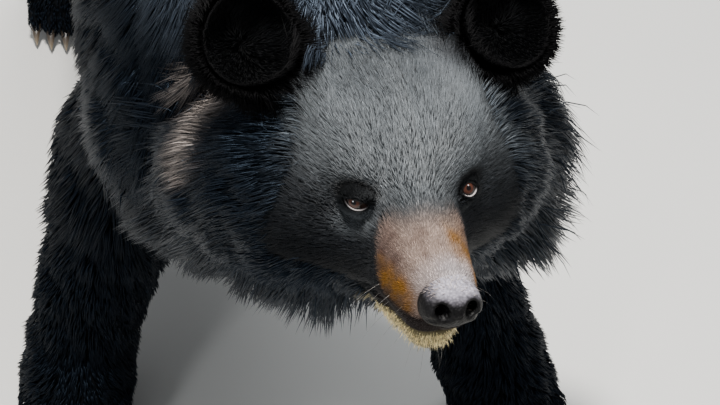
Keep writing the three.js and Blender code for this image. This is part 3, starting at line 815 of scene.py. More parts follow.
def markings(p, colours):
    """The coat's colours at places, shared by skin and tufts."""
    p = np.asarray(p, np.float32)
    _, q, head, *_ = zones(p)
    patches = np.sin(q @ [0.31, 0.17, 0.23]) + np.sin(q @ [-0.19, 0.29, 0.13] + 2)
    patches += 0.6 * np.sin(q @ [0.83, 0.67, -0.7] + 1) + 0.6 * np.sin(q @ [-0.7, 0.9, 0.61])
    tint = np.tile(np.array(colours.coat[:]), (len(p), 1))
    # painted sheen: the cool light off the black hair over nape and withers, fading towards the back
    cool = smooth(p[:, 2], 570, 690) * (1 - head)  # over nape and withers
    cool *= 1 - smooth(np.abs(p[:, 0] - 40), 80, 170)
    cool *= 1 - 0.8 * smooth(p[:, 1], 100, 330)
    tint = mix(tint, colours.sheen[:], cool)
    tint = mark_face(tint, q, head, colours)
    tint = mix(tint, colours.faded[:], 0.9 * pale_streak(p))
    tint, on_muzzle = mark_muzzle(tint, q, head, patches, colours)
    tint = mark_lips(tint, q, head, patches, colours)
    tint = mark_eyes(tint, q, head, on_muzzle, colours)
    # the breast's crescent
    rise = 288 + 0.7 * np.abs(p[:, 0] - 60)
    crescent = bell(p[:, 2] - rise, 14) * (1 - smooth(np.abs(p[:, 0] - 60), 62, 82))
    front = (1 - head) * (1 - smooth(p[:, 1], -60, -30)) * smooth(p[:, 1], -105, -85)
    tint = mix(tint, colours.cream[:], crescent * front)
    tint[:, 3] = 1
    return tint


def mark_face(tint, q, head, colours):
    """The forehead's grey shield and a grey patch on the left temple, both painted sheen where light
    from above falls on the black hair; the black jaw, a black crown and the black roots of the ears."""
    x, y, z = np.abs(q[:, 0]), q[:, 1], q[:, 2]
    tint = mix(tint, colours.cheek[:], head)
    between = 30 * bell(x, 44)  # the shield comes further down between the eyes
    # painted sheen: the grey shield lies over the head's upper parts, where the light from above
    # falls
    shield = head * smooth(z + 0.35 * y - 0.25 * x + between, -46, 20)
    shield = shield * (1 - smooth(x, 70, 112))
    tint = mix(tint, colours.coat[:], head * (1 - smooth(z, -80, -20)) * smooth(y, -40, 0))
    tint = mix(tint, colours.face[:], shield * (1 - 0.3 * smooth(y, 90, 130)))
    # more painted sheen on the left temple
    temple = bell(np.linalg.norm(q - LEFT_TEMPLE, axis=1), 26)
    tint = mix(tint, colours.face[:], 0.5 * head * temple)
    shield = np.maximum(shield, 0.8 * temple)
    crown = bell(np.linalg.norm(q - LEFT_CROWN, axis=1), 24)
    tint = mix(tint, colours.coat[:], 0.9 * head * crown)
    round_ear = 1 - smooth(ear_hollow(q), 6, 26)
    black = head * np.maximum(long_face(q) * (1 - shield), round_ear)
    return mix(tint, colours.coat[:], black)


def pale_streak(p):
    """How far each place lies in a paler brown-grey streak that runs down behind the right cheek."""
    across, up = p @ STREAK_ACROSS, p @ STREAK_UP
    middle = -39 - 26 * smooth(-up, -338, -268) + 22 * smooth(p[:, 1], -82, -54)
    breadth = 10 + 5 * smooth(up, 300, 330) + 5 * smooth(up, 318, 346)
    streak = bell(across - middle, breadth) * smooth(up, 246, 266)
    streak *= (1 - smooth(up, 372, 388)) * (1 - smooth(p[:, 1], -40, -10))
    return streak


def mark_muzzle(tint, q, head, patches, colours):
    """The muzzle, tan on top with darker flecks, grey behind the nose, partly pale short hair and
    partly painted sheen, and ochre beside the lips. How far each place belongs to it comes back too."""
    x, y, z = np.abs(q[:, 0]), q[:, 1], q[:, 2]
    edge = -52 + 16 * smooth(x, 15, 38) + 0.68 * np.minimum(z + 23, 0)
    soft = 15 - 11 * smooth(x, 20, 36)
    on_muzzle = head * (1 - smooth(y - edge, -soft, soft))
    tint = mix(tint, colours.tan[:], on_muzzle)
    fleck = smooth(patches, 0.4, 2.4) * 0.45
    stripe = 0.45 * bell(q[:, 0] + 13, 5) * bell(y + 68, 16)
    fleck += stripe + (0.66 - 0.1 * np.sign(q[:, 0])) * smooth(x, 18, 34)
    tint = mix(tint, colours.umber[:], on_muzzle * np.clip(fleck, 0, 1))
    # partly pale short hair, partly painted sheen: the top of the muzzle just behind the pad is made
    # paler
    near_nose = (1 - smooth(y, -102, -80)) * (1 - smooth(x, 18, 32)) * smooth(z, -60, -40)
    near_nose *= 0.5 + 0.5 * smooth(q[:, 0], -16, 4)
    tint = mix(tint, NOSE_FUR_SHEEN, 0.75 * on_muzzle * near_nose)
    side = smooth(x, 22, 31) * (1 - smooth(z, -50, -38)) * (1 - smooth(y, -54, -44))
    left = smooth(q[:, 0], 5, 16) * (1 - smooth(z, -14, -4)) * bell(y + 72, 17)
    side = np.maximum(side, 0.95 * left)
    tint = mix(tint, colours.ochre[:], on_muzzle * side * np.clip(0.8 + 0.16 * patches, 0, 1))
    dusk = smooth(-patches, -0.4, 1.6) * (1 - smooth(z - 0.5 * y, -24, 0))
    return mix(tint, DUSK, 0.6 * on_muzzle * side * dusk), on_muzzle


def mark_lips(tint, q, head, patches, colours):
    """Lips dark to the line of the mouth, and under it a cream darkened as painted shade under the
    chin's bristles.
    """
    y, z = q[:, 1], q[:, 2]
    lip_z = MOUTH_FRONT_Z + (MOUTH_CORNER_Z - MOUTH_FRONT_Z) * smooth(y, -110, -20)
    over_lip = (1 - smooth(z - lip_z, 17 + 1.5 * patches, 25)) * (1 - smooth(y, -58, -40))
    tint = mix(tint, LIP, head * over_lip)
    # painted shade under the chin's bristles
    below = (1 - smooth(z - lip_z, -4, -1)) * (1 - smooth(y, -30, -14))
    return mix(tint, np.multiply(colours.cream[:], CHIN_SHADE), head * below)


def mark_eyes(tint, q, head, on_muzzle, colours):
    """Dark skin round the eyes, reaching up over them as painted shade under the brow, and painted
    sheen in a patch under the right eye.
    """
    for s in SIDES.values():
        under = np.linalg.norm((q - EYE_AT * [s, 1, 1] - [0, -10, -17]) / [24, 22, 15], axis=1)
        # painted sheen: the face's grey under the right eye only
        lit = (0.3 - 0.3 * s) * head * (1 - on_muzzle) * (1 - smooth(under, 0.5, 1.2))
        tint = mix(tint, colours.face[:], lit)
        # bare dark skin, centred above the eye so that it also paints the shade under the brow
        eye = np.linalg.norm((q - EYE_AT * [s, 1, 1] - [0, 0, 6]) / [19, 19, 13], axis=1)
        tint = mix(tint, colours.hide[:], head * (1 - smooth(eye, 0.7, 1.3)))
    return tint


FAN_FROM = np.array([0, -112, -58])  # the nose, from which the face's hair fans out


def lie_of(p, normal):
    """Which way the hair lies along the skin."""
    _, q, head, ruff, low, *_ = zones(p)
    side = np.abs(normal[:, 0])
    back = np.ones(len(p))
    way = np.stack([0.12 * np.sign(p[:, 0]) * (1 - side), back, -0.25 - 0.75 * side], axis=1)
    way = mix(way, [0, 1, -0.15], smooth(-normal[:, 2], 0.3, 0.9))
    breast = smooth(-normal[:, 1], 0.2, 0.8) * (1 - smooth(p[:, 1], 0, 120))
    way = mix(way, [0, 0.1, -1], breast)
    rump = smooth(normal[:, 1], 0.2, 0.9) * smooth(p[:, 1], 850, 1000)
    way = mix(way, [0, 0.2, -1], rump)
    thigh = smooth(np.abs(p[:, 0]), 120, 200) * (1 - smooth(p[:, 2], 380, 600)) * 0.6
    way = mix(way, [0.0, 0.25, -1.0], np.maximum(low, thigh))
    way = mix(way, [0, -1, -0.45], 1 - smooth(p[:, 2], 40, 80))
    round_neck = unit((p - RUFF_AT) * [1, 0, 1]) + [0.0, 0.6, -0.62]
    way = mix(unit(way), unit(round_neck), ruff)
    # the face's hair fans out from the nose and runs back over crown and cheeks
    fan = unit(q - FAN_FROM)
    outwards = np.stack([np.sign(q[:, 0]), 0 * q[:, 0] + 0.35, 0 * q[:, 0] - 0.5], axis=1)
    fan = mix(fan, unit(outwards), 0.75 * long_face(q) * smooth(np.abs(q[:, 0]), 40, 80))
    way = mix(way, head_way(fan), head)
    return unit(way - normal * np.sum(way * normal, axis=1, keepdims=True))


# ---------------------------------------------------------------- tufts

WAVES = np.random.default_rng(3).normal(size=(3, 5, 3))
PATCH = 0.003  # the width of a tuft's patch on the unwrap
FLATNESS = 0.45  # of a tuft: its height as a share of its width
QUICK_SHARE = 1  # of the tufts


def sway(p, reach):
    """A smooth wandering of directions, the same for neighbours within a reach."""
    waves = WAVES / reach
    phases = np.arange(5) * 1.7
    return np.stack([np.sin(p @ w.T + phases).sum(axis=1) for w in waves], axis=1) / 2.5


def triangles_of(mesh):
    """A mesh's triangles by their vertices."""
    mesh.calc_loop_triangles()
    corners = np.empty(len(mesh.loop_triangles) * 3, np.int32)
    mesh.loop_triangles.foreach_get("vertices", corners)
    return corners.reshape(-1, 3)


def scattered(corners, weight, count, rng, tell=False):
    """Roots spread evenly over triangles by their weights, and the triangle of each."""
    a, b, c = corners
    area = np.linalg.norm(np.cross(b - a, c - a), axis=1) / 2 * weight
    total = np.cumsum(area)
    at = (np.arange(count) + rng.random(count)) / count * total[-1]
    chosen = np.searchsorted(total, at)
    u, w = rng.random((2, count))
    flip = u + w > 1
    u[flip], w[flip] = 1 - u[flip], 1 - w[flip]
    roots = a[chosen] + (b - a)[chosen] * u[:, None] + (c - a)[chosen] * w[:, None]
    return (roots, chosen) if tell else roots


def tuft_mesh(name, paths, widths, up, unwrapped, tint, rng):
    """Closed tufts on their paths. A path of two points is a spike on a three-sided base;
    a longer one is pointed at both ends, with three corners round each point between."""
    count, steps, _ = paths.shape
    spike = steps == 2
    rings = [0] if spike else list(range(1, steps - 1))
    points, along = [], []
    if not spike:
        points.append(paths[:, :1])
        along.append([0.0])
    for k in rings:
        ahead = unit(paths[:, min(k + 1, steps - 1)] - paths[:, max(k - 1, 0)])
        side = unit(np.cross(ahead, up))
        over = np.cross(side, ahead)
        half = widths[:, None] / 2
        if not spike and k > 1:
            half = half * 0.72
        centre = paths[:, k]
        ring = [centre - side * half, centre + side * half, centre + over * half * 2 * FLATNESS]
        points.append(np.stack(ring, axis=1))
        along.append([k / (steps - 1)] * 3)
    points.append(paths[:, -1:])
    along.append([1.0])
    points = np.concatenate(points, axis=1)
    along = np.concatenate(along)
    size = points.shape[1]
    tip = size - 1
    first = 0 if spike else 1
    faces = []
    for i in range(3):
        j = (i + 1) % 3
        if not spike:
            faces.append((0, first + j, first + i))
        for k in range(len(rings) - 1):
            low, high = first + 3 * k, first + 3 * k + 3
            faces += [(low + i, low + j, high + i), (low + j, high + j, high + i)]
        last = first + 3 * (len(rings) - 1)
        faces.append((last + i, last + j, tip))
    if spike:
        faces.append((0, 2, 1))
    faces = np.array(faces)
    all_faces = (faces[None] + size * np.arange(count)[:, None, None]).reshape(-1, 3)
    mesh = new_mesh(name, points.reshape(-1, 3), all_faces)
    paint(mesh, "markings", np.repeat(tint, size, axis=0))
    paint(mesh, "along", np.tile(along, count))
    paint(mesh, "stray", np.repeat(rng.random(count), size))
    sides = [(-1, 1, 0)[(i - first) % 3] if first <= i < tip else 0 for i in range(size)]
    across = np.array(sides) * PATCH / 2
    patch = np.stack([across, along * PATCH], axis=1)
    uv = (unwrapped[:, None] + patch[None]).reshape(-1, 2)
    layer = mesh.uv_layers.new(name="OFBake")
    layer.data.foreach_set("uv", uv[all_faces.ravel()].astype(np.float32).ravel())
    return mesh


def round_unwrap(p, centre, axis, reach):
    """An unwrap round an axis: the angle about it and the place along it."""
    others = [i for i in range(3) if i != axis]
    rel = p - centre
    angle = np.arctan2(rel[:, others[0]], rel[:, others[1]]) / (2 * math.pi) + 0.5
    along = np.clip(rel[:, axis] / reach + 0.5, 0, 1)
    return 0.01 + 0.98 * np.stack([angle, along], axis=1)


def unwrap_round(centre, axis, reach, place=np.asarray):
    """The same unwrap as a function of places alone."""
    return lambda p: round_unwrap(place(p), centre, axis, reach)


def combed(roots, normals, hair, height, look, rng):
    """Paths that follow the lie of the coat from roots in the skin, rising to a height
    over it and drooping, with tips drawn together into locks."""
    steps, reach, wander, pull = (look[key] for key in ("steps", "reach", "wander", "pull"))
    curl = look["curl"]
    way = lie_of(roots, normals)
    way = way + sway(roots, reach) * wander + sway(roots, 4.3 * reach) * wander
    loose = 0.12 + 0.3 * (rng.random(len(roots)) < 0.12)
    way = unit(way + rng.normal(size=roots.shape) * loose[:, None])
    p = roots - normals * 1.2
    path = [p]
    for k in range(1, steps):
        t = k / (steps - 1)
        bent = unit(way + curl * sway(p, 0.8 * reach) + [0, 0, -look["droop"] * t])
        p = p + bent * (hair / (steps - 1))[:, None]
        rise = height * t**0.75 - skin_level(p)
        p = p + normals * np.clip(rise, -look["hug"], 40)[:, None]
        path.append(p)
    if pull:
        cell = np.floor((roots + 3 * sway(roots, reach)) / reach).astype(np.int64)
        _, group = np.unique(cell @ [1, 4099, 4099 * 4099], return_inverse=True)
        number = np.bincount(group)
        for k in range(1, steps):
            middle = np.stack([np.bincount(group, path[k][:, i]) / number for i in range(3)], 1)
            share_k = pull * (k / (steps - 1)) ** 1.5
            path[k] = path[k] + (middle[group] - path[k]) * share_k
    paths = np.stack(path, axis=1)
    paths[:, :, 2] = np.maximum(paths[:, :, 2], SOLE_Z)
    return paths


REGIONS = {
    # height of the tips over the skin in mm, width of a tuft in mm, tufts per square
    # centimetre, points of a path, wander of the lie, reach of a lock in mm, how far its
    # tips are drawn together, how far they droop, how they curl, and how far in mm a
    # step may be pressed back where the form curves away under it
    "face": dict(
        height=3.6, width=1.0, density=78, steps=2, wander=0.14, reach=8, pull=0.12, droop=0,
        curl=0, hug=12,
    ),
    "cheek": dict(
        height=14, width=1.3, density=21, steps=4, wander=0.2, reach=15, pull=0.3, droop=0.5,
        curl=0.14, hug=2,
    ),
    "ruff": dict(
        height=22, width=1.5, density=15.5, steps=4, wander=0.2, reach=26, pull=0.42, droop=0.5,
        curl=0.22, hug=5,
    ),
    "nape": dict(
        height=15, width=1.45, density=22, steps=3, wander=0.15, reach=20, pull=0.35, droop=0.1,
        curl=0.1, hug=8,
    ),
    "trunk": dict(
        height=15, width=2.6, density=7.5, steps=3, wander=0.16, reach=26, pull=0.4, droop=0.35,
        curl=0.1, hug=7,
    ),
    "leg": dict(
        height=9, width=2.1, density=11, steps=3, wander=0.12, reach=14, pull=0.3, droop=0.1,
        curl=0.1, hug=5,
    ),
}
MOST_TRIANGLES = 195_000  # in one piece of the coat
TUFT_TRIANGLES = {2: 4, 3: 6, 4: 12}  # by the points of a tuft's path
HIND_PART = (250, 620)  # mm along the trunk, over which tufts grow fewer and wider
COAT_SEED = 100


def region_of(p, normal):
    """The number of the region that each place's coat belongs to."""
    _, q, head, ruff, *_ = zones(p)
    names = list(REGIONS)
    region = np.full(len(p), names.index("trunk"))
    top = (p[:, 1] < 150) & (p[:, 2] > 560) & (normal[:, 2] > 0.2)
    side = (p[:, 1] < 20) & (p[:, 2] > 450)
    region[top | side] = names.index("nape")
    region[p[:, 2] < 300] = names.index("leg")
    region[ruff > 0.35] = names.index("ruff")
    region[head > 0.5] = names.index("face")
    region[(head > 0.5) & (long_face(q) > 0.3)] = names.index("cheek")
    return region


def long_face(q):
    """How far the face's hair has grown long, from 0 on the brow to 1 where it meets the
    neck, behind the cheeks, under the jaw and behind the crown."""
    x, y, z = np.abs(q[:, 0]), q[:, 1], q[:, 2]
    cheek = smooth(x, 62, 104) * smooth(y, -10, 50)
    crown = smooth(y, 68, 120)
    jaw = (1 - smooth(z, -104, -62)) * smooth(y, -42, -8)
    return np.max([cheek, crown, jaw], axis=0)


def long_hair(p):
    """1 on ruff and cheeks, whose hairs take their colour half-way out, and 0 elsewhere."""
    _, q, head, ruff, *_ = zones(p)
    return np.maximum(ruff, head * long_face(q))


def hair_of(p, sizes):
    """Hair length at places, in mm: short on the face, long on the ruff."""
    _, q, head, ruff, low, paw, muzzle = zones(p)
    hair = sizes.body_hair + (sizes.nape_hair - sizes.body_hair) * (1 - smooth(p[:, 1], 50, 300))
    hair = hair + (sizes.leg_hair - hair) * low
    hair = hair * (1 - 0.45 * paw)
    hair = hair + (sizes.ruff_hair - hair) * ruff
    face = sizes.face_hair * (1 + 3.2 * long_face(q) - 0.66 * muzzle)
    for s in SIDES.values():
        face = face * (0.4 + 0.6 * smooth(np.linalg.norm(q - EYE_AT * [s, 1, 1], axis=1), 12, 38))
    return (hair + (face - hair) * head) / MM


def grow(skin, region_name, part, chosen, sizes, colours, material, unwrap, seed):
    """Grows one coat piece over the chosen triangles of the skin."""
    rng = np.random.default_rng(seed)
    look = REGIONS[region_name]
    p = vertices_of(skin.data)
    corners = triangles_of(skin.data)[chosen]
    a, b, c = (p[corners[:, i]].astype(float) for i in range(3))
    sparse = 0.5 * smooth(a[:, 1], *HIND_PART)
    area = np.sum(np.linalg.norm(np.cross(b - a, c - a), axis=1) * (1 - sparse)) / 2
    density = look["density"] / 100 * sizes.density * QUICK_SHARE
    count = min(int(area * density), MOST_TRIANGLES // TUFT_TRIANGLES[look["steps"]])
    roots = scattered((a, b, c), 1 - sparse, count, rng)
    normals = slope(skin_level, roots)
    usual = hair_of(roots, sizes)
    hair = usual * (0.75 + 0.5 * rng.random(count))
    height = look["height"] * (0.7 + 0.6 * rng.random(count))
    height = height * np.clip(usual / np.median(usual), 0.3, 1.5)
    if look["steps"] > 2:
        height = height * np.clip(0.95 + 0.5 * sway(roots, 0.7 * look["reach"])[:, 0], 0.3, 1.7)
    hair = hair * (1 - 0.72 * smooth(-normals[:, 2], 0.3, 0.8))  # shorter underneath
    paths = combed(roots, normals, hair, height, look, rng)
    into_ear = ear_hollow(to_head(paths.reshape(-1, 3))).reshape(count, -1).min(axis=1) < -1
    roots, normals, paths = (values[~into_ear] for values in (roots, normals, paths))
    count = len(roots)
    muzzle = zones(roots)[-1]
    widths = look["width"] * (0.7 + 0.6 * rng.random(count)) * (1 - 0.3 * muzzle)
    widths = widths * (1 + 0.35 * smooth(roots[:, 1], *HIND_PART))
    tint = markings(roots + 0.5 * (paths[:, -1] - roots) * long_hair(roots)[:, None], colours)
    # painted highlights: one tuft in twenty is made twice as pale, for the glint along single
    # strands
    tint[rng.random(count) < 0.05] *= [2, 2, 2, 1]  # paler hairs here and there
    name = f"coat_{region_name}_{part}"
    mesh = tuft_mesh(name, paths, widths, normals, unwrap(roots), tint, rng)
    return new_piece(mesh, material)


def build_coat(skin, sizes, colours):
    """The coat pieces of each region, cut in as many parts as its size needs."""
    centres = vertices_of(skin.data)[triangles_of(skin.data)].mean(axis=1)
    region = region_of(centres, slope(skin_level, centres))
    q = to_head(centres)
    bare = (centres[:, 2] <= SOLE_EDGE_Z) | (leather_pad(q) < -0.5) | (ear_hollow(q) < 5)
    for s in SIDES.values():
        bare |= np.linalg.norm((q - EYE_AT * [s, 1, 1]) / [12, 14.5, 8.5], axis=1) < 1
    short = hair_material("short_dense_black_fur", 0.5, 0.3, 0.35, 1.6)
    long = hair_material("long_black_ruff_hair", 0.42, 0.24, 0.5, 1.7, BLUE_GLINT)
    guard = hair_material("black_guard_hair", 0.48, 0.11, 0.5, 1.7, BLUE_GLINT)
    materials = {"face": short, "cheek": long, "ruff": long, "nape": long}
    seed = COAT_SEED
    for number, name in enumerate(REGIONS):
        of_region = (region == number) & ~bare
        material = materials.get(name, guard)
        for part, chosen, unwrap in parts_of(name, centres, of_region):
            seed += 1
            grow(skin, name, part, chosen, sizes, colours, material, unwrap, seed)


def parts_of(name, centres, of_region):
    """A region cut into parts, each with its name, its triangles and its unwrap."""
    x, y = centres[:, 0], centres[:, 1]
    if name in ("face", "cheek"):
        left = to_head(centres)[:, 0] >= 0
        unwrap = unwrap_round(np.array([0, 0, -30]), 1, 330, to_head)
        return [("right", of_region & ~left, unwrap), ("left", of_region & left, unwrap)]
    if name == "ruff":
        left = x >= RUFF_AT[0]
        unwrap = unwrap_round(RUFF_AT, 1, 260)
        return [("right", of_region & ~left, unwrap), ("left", of_region & left, unwrap)]
    if name == "nape":
        return [("top", of_region, unwrap_round(np.array([20, 20, 560]), 1, 420))]
    if name == "trunk":
        unwrap = unwrap_round(np.array([0, 450, 500]), 1, 1300)
        return [
            ("front", of_region & (y < 330), unwrap),
            ("middle", of_region & (y >= 330) & (y < 680), unwrap),
            ("back", of_region & (y >= 680), unwrap),
        ]
    made = []
    for leg, (joints, _) in LEGS.items():
        mine = np.sign(x) == np.sign(joints[0][0])
        mine &= (y < 500) == (kind_of(leg) == "fore")
        foot = np.array([joints[2][0], joints[2][1], 150.0])
        made.append((leg, of_region & mine, unwrap_round(foot, 2, 340)))
    return made


# ---------------------------------------------------------------- eyes and lids

GAZE = {"right": (-0.56, -0.79, 0.23), "left": (0.03, -0.81, 0.58)}  # in the head frame
IRIS_ANGLE, PUPIL_ANGLE = 0.45, 0.15  # radians from the gaze's axis
EYE_RINGS, EYE_SIDES = 36, 48
CORNEA = 0.075  # how far it bulges, as a share of the eyeball's radius
LIDS = {  # the way the opening faces, and how far it reaches in degrees: across, up, down
    "right": ((-0.4, -0.89, 0.2), 56, 10, 26),
    "left": ((0.18, -0.86, 0.46), 34, 27, 24),
}
LID_SIDES, LID_TILT = 56, 10  # points round a lid, and degrees its outer corner is raised
ALMOND = 1.7  # 2 would be an ellipse, 1 a diamond
LID_BARE_ROWS, LID_FUR_ROWS = 3, 8  # of the lid's rings, from the eyeball


def eye_material(colours):
    """A wet eyeball: an amber-brown iris with fine dark spokes under a cornea so smooth
    that it mirrors the lamps as small sharp lights."""
    material, tree, shader = new_material(
        "wet_amber_eye", Roughness=0.06, IOR=1.376, Coat_Weight=0.3, Coat_Roughness=0.02
    )
    angle = add_node(tree, "ShaderNodeAttribute", {"attribute_name": "gaze"}).outputs["Fac"]
    ramp = add_node(tree, "ShaderNodeValToRGB", Fac=angle)
    stops = [
        (0.0, PUPIL),
        (PUPIL_ANGLE / math.pi, PUPIL),
        ((PUPIL_ANGLE + 0.05) / math.pi, tuple(colours.iris)),
        ((IRIS_ANGLE - 0.1) / math.pi, tuple(colours.iris)),
        (IRIS_ANGLE / math.pi, LIMBUS),
        ((IRIS_ANGLE + 0.09) / math.pi, LIMBUS),
        ((IRIS_ANGLE + 0.3) / math.pi, EYE_CORNER),
        (1.0, EYE_BACK),
    ]
    elements = ramp.color_ramp.elements
    while len(elements) < len(stops):
        elements.new(0.5)
    for element, (place, tint) in zip(elements, stops):
        element.position, element.color = place, tint
    spokes = noise(tree, coordinates(tree), 0.66667, 3.0, 0.7)
    tint = varied(tree, ramp.outputs["Color"], spokes, 0.4, 1.5)
    tree.links.new(tint, shader.inputs["Base Color"])
    return material


def lid_material():
    """Bare, slightly greasy hide; its markings carry a painted highlight along the lower lid's wet
    inner edge.
    """
    material, tree, shader = new_material(
        "bare_eyelid_hide", Roughness=0.5, Specular_IOR_Level=0.22
    )
    wrinkles = noise(tree, coordinates(tree), 1.1111, 3.0)
    tint = varied(tree, read_colours(tree), wrinkles, 0.7, 1.2)
    tree.links.new(tint, shader.inputs["Base Color"])
    add_bump(tree, shader, wrinkles, 0.4)
    return material


def build_eyes(colours):
    """Eyeballs with a bulging cornea, each turned along its gaze."""
    material = eye_material(colours)
    theta = np.linspace(0, math.pi, EYE_RINGS + 2)[1:-1, None]
    phi = np.linspace(0, 2 * math.pi, EYE_SIDES, endpoint=False)[None]
    radius = EYE_R * (1 + CORNEA * bell(theta, 0.62))
    angles = np.concatenate([np.repeat(theta[:, 0], EYE_SIDES), [0, math.pi]]) / math.pi
    for name, side in SIDES.items():
        gaze = unit(GAZE[name])
        e1, e2 = across_of(gaze)
        around = np.cos(phi)[..., None] * e1 + np.sin(phi)[..., None] * e2
        ball_points = radius[..., None] * (
            np.cos(theta)[..., None] * gaze + np.sin(theta)[..., None] * around
        )
        poles = [gaze * EYE_R * (1 + CORNEA), -gaze * EYE_R]
        q = np.concatenate([ball_points.reshape(-1, 3), poles]) + EYE_AT * [side, 1, 1]
        faces = ring_faces(EYE_RINGS, EYE_SIDES)
        mesh = outward_mesh(f"eyeball_{name}", from_head(q), faces)
        paint(mesh, "gaze", angles)
        new_piece(mesh, material, [f"eye_{name}"])


def build_lids(sizes, colours):
    """Each eye's lids are one almond ring from the eyeball out into the skin."""
    material = lid_material()
    fur = hair_material("short_lid_fur", 0.55, 0.14, 0.5, 1.7, GREY_GLINT)
    for name, side in SIDES.items():
        centre = EYE_AT * [side, 1, 1]
        facing = EYE_FACING * [side, 1, 1]
        axis, widest, *highest = LIDS[name]
        axis = unit(axis)
        e1, e2 = across_of(axis)
        e1 = e1 * np.sign(e1[0] * side)  # towards the ear
        phi = np.linspace(0, 2 * math.pi, LID_SIDES, endpoint=False)
        upper = np.sin(phi) > 0
        wide = np.radians(widest)
        high = np.radians(np.where(upper, *highest)) * sizes.lid_opening
        flat, steep = np.abs(np.cos(phi)) / wide, np.abs(np.sin(phi)) / high
        opening = (flat**ALMOND + steep**ALMOND) ** (-1 / ALMOND)
        tilted = phi + math.radians(LID_TILT)
        way = np.cos(tilted)[:, None] * e1 + np.sin(tilted)[:, None] * e2

        def at(extra, radius):
            angle = (opening + np.radians(extra))[:, None]
            return centre + radius * (np.cos(angle) * axis + np.sin(angle) * way)

        fold = np.where(upper, 1.0, 0.55)[:, None]
        # the outer edge dives into the skin 13 to 17 mm to the sides of the eye's centre
        skin = centre + way * (13.0 + 4.0 * np.abs(np.cos(phi)))[:, None] + facing * 7
        settled = settle(skin_level, from_head(skin).astype(np.float32), 4)
        sunk = to_head(settled - slope(skin_level, settled) * 1.6)
        rim = at(19, EYE_R + 1.2)
        rows = [
            at(-1.5, EYE_R * 0.99),
            at(-0.5, EYE_R + 0.9),
            at(3, EYE_R + 1.3 + 0.3 * fold),
            at(8, EYE_R + 1.5 + 0.6 * fold),
            at(13, EYE_R + 1.2),
            rim,
            (rim + sunk) / 2 + facing * 0.5,
            sunk,
            sunk - facing * 4,
            at(20, EYE_R - 3),
        ]
        rings = np.stack(rows)
        faces = ring_faces(len(rows), LID_SIDES, closed_path=True)
        mesh = outward_mesh(f"eyelids_{name}", from_head(rings.reshape(-1, 3)), faces)
        tint = np.tile(np.array(colours.hide[:]), (len(rows), LID_SIDES, 1))
        # painted highlight: the lower lid's wet inner edge made pale
        pale = smooth(-np.sin(phi), 0.1, 0.6)[:, None]
        tint[1] = tint[1] + (np.array(LID_RIM_HIGHLIGHT) - tint[1]) * pale
        paint(mesh, "markings", tint.reshape(-1, 4))
        piece = new_piece(mesh, material)
        smoother = piece.modifiers.new("smooth", "SUBSURF")
        smoother.levels = smoother.render_levels = 1
        row = faces // LID_SIDES
        furred = faces[np.all((row >= LID_BARE_ROWS) & (row < LID_FUR_ROWS), axis=1)]
        at_eye = (rings.reshape(-1, 3), furred, np.ones(len(furred)), centre, 5.5)
        short_fur(f"coat_lids_{name}", *at_eye, fur, sizes, colours)


def short_fur(name, q, faces, weight, centre, hair, material, sizes, colours):
    """Very short closed hairs on the triangles of a small form, lying back from the nose
    and parted round the form's own centre."""
    rng = np.random.default_rng(60 + len(name))
    count = int(2400 * sizes.density * QUICK_SHARE)
    a, b, c = (q[faces[:, i]] for i in range(3))
    roots, chosen = scattered((a, b, c), weight, count, rng, True)
    normals = unit(np.cross(b - a, c - a))[chosen]
    rel = roots - centre
    normals = normals * np.sign(np.sum(normals * rel, axis=1))[:, None]
    way = unit(roots - FAN_FROM) + 0.8 * unit(rel) + rng.normal(size=roots.shape) * 0.15
    way = unit(way - normals * np.sum(way * normals, axis=1, keepdims=True))
    reach = hair * (0.7 + 0.6 * rng.random(count))
    tips = roots + (way + 0.35 * normals) * reach[:, None]
    paths = from_head(np.stack([roots - normals * 0.8, tips], axis=1))
    tint = markings(paths[:, 0], colours)
    widths = 1.05 * (0.7 + 0.6 * rng.random(count))
    unwrapped = round_unwrap(rel, np.zeros(3), 1, 60)
    mesh = tuft_mesh(name, paths, widths, head_way(normals), unwrapped, tint, rng)
    return new_piece(mesh, material)


# ---------------------------------------------------------------- nose

NOSTRIL_FRONT, NOSTRIL_BACK = np.array([11, -34, -2]), np.array([13.5, -9, 3])  # from NOSE_AT
NOSTRIL_R = 6.4
GRAIN_MM = 2.0833  # width of a grain of the nose's leather


def leather_pad(q):
    """The pad with its wings, before anything is cut in it."""
    q = q - NOSE_AT.astype(np.float32)
    return melted(
        [
            (ball((0, 6, 0.4), (22.5, 29, 20), 14), 6),
            (mirrored(ball((12.5, -8, -3), (13.5, 16, 14.5))), 8),
            (cone((0, -17, -3), 9, (0, -8, -16), 7), 8),
        ]
    )(q)


def nose_field():
    """The pad pierced by nostrils whose slits curl out and back, and parted in front
    down to the lip."""
    hole = mirrored(cone(NOSTRIL_FRONT, NOSTRIL_R, NOSTRIL_BACK, 4.5))
    slit = mirrored(cone((15, -27, -6), 3.0, (26, -15, -10), 1.8))
    curl = mirrored(cone((26, -15, -10), 1.8, (30, -4, -9), 1.2))
    parting = cone((0, -33, 3), 0.8, (0, -21, -27), 1.8)

    def distance(p):
        d = leather_pad(p)
        q = p - NOSE_AT.astype(np.float32)
        for cut, k in ((hole, 3.5), (slit, 3), (curl, 3), (parting, 4)):
            d = carve(d, cut(q), k)
        return d

    return distance


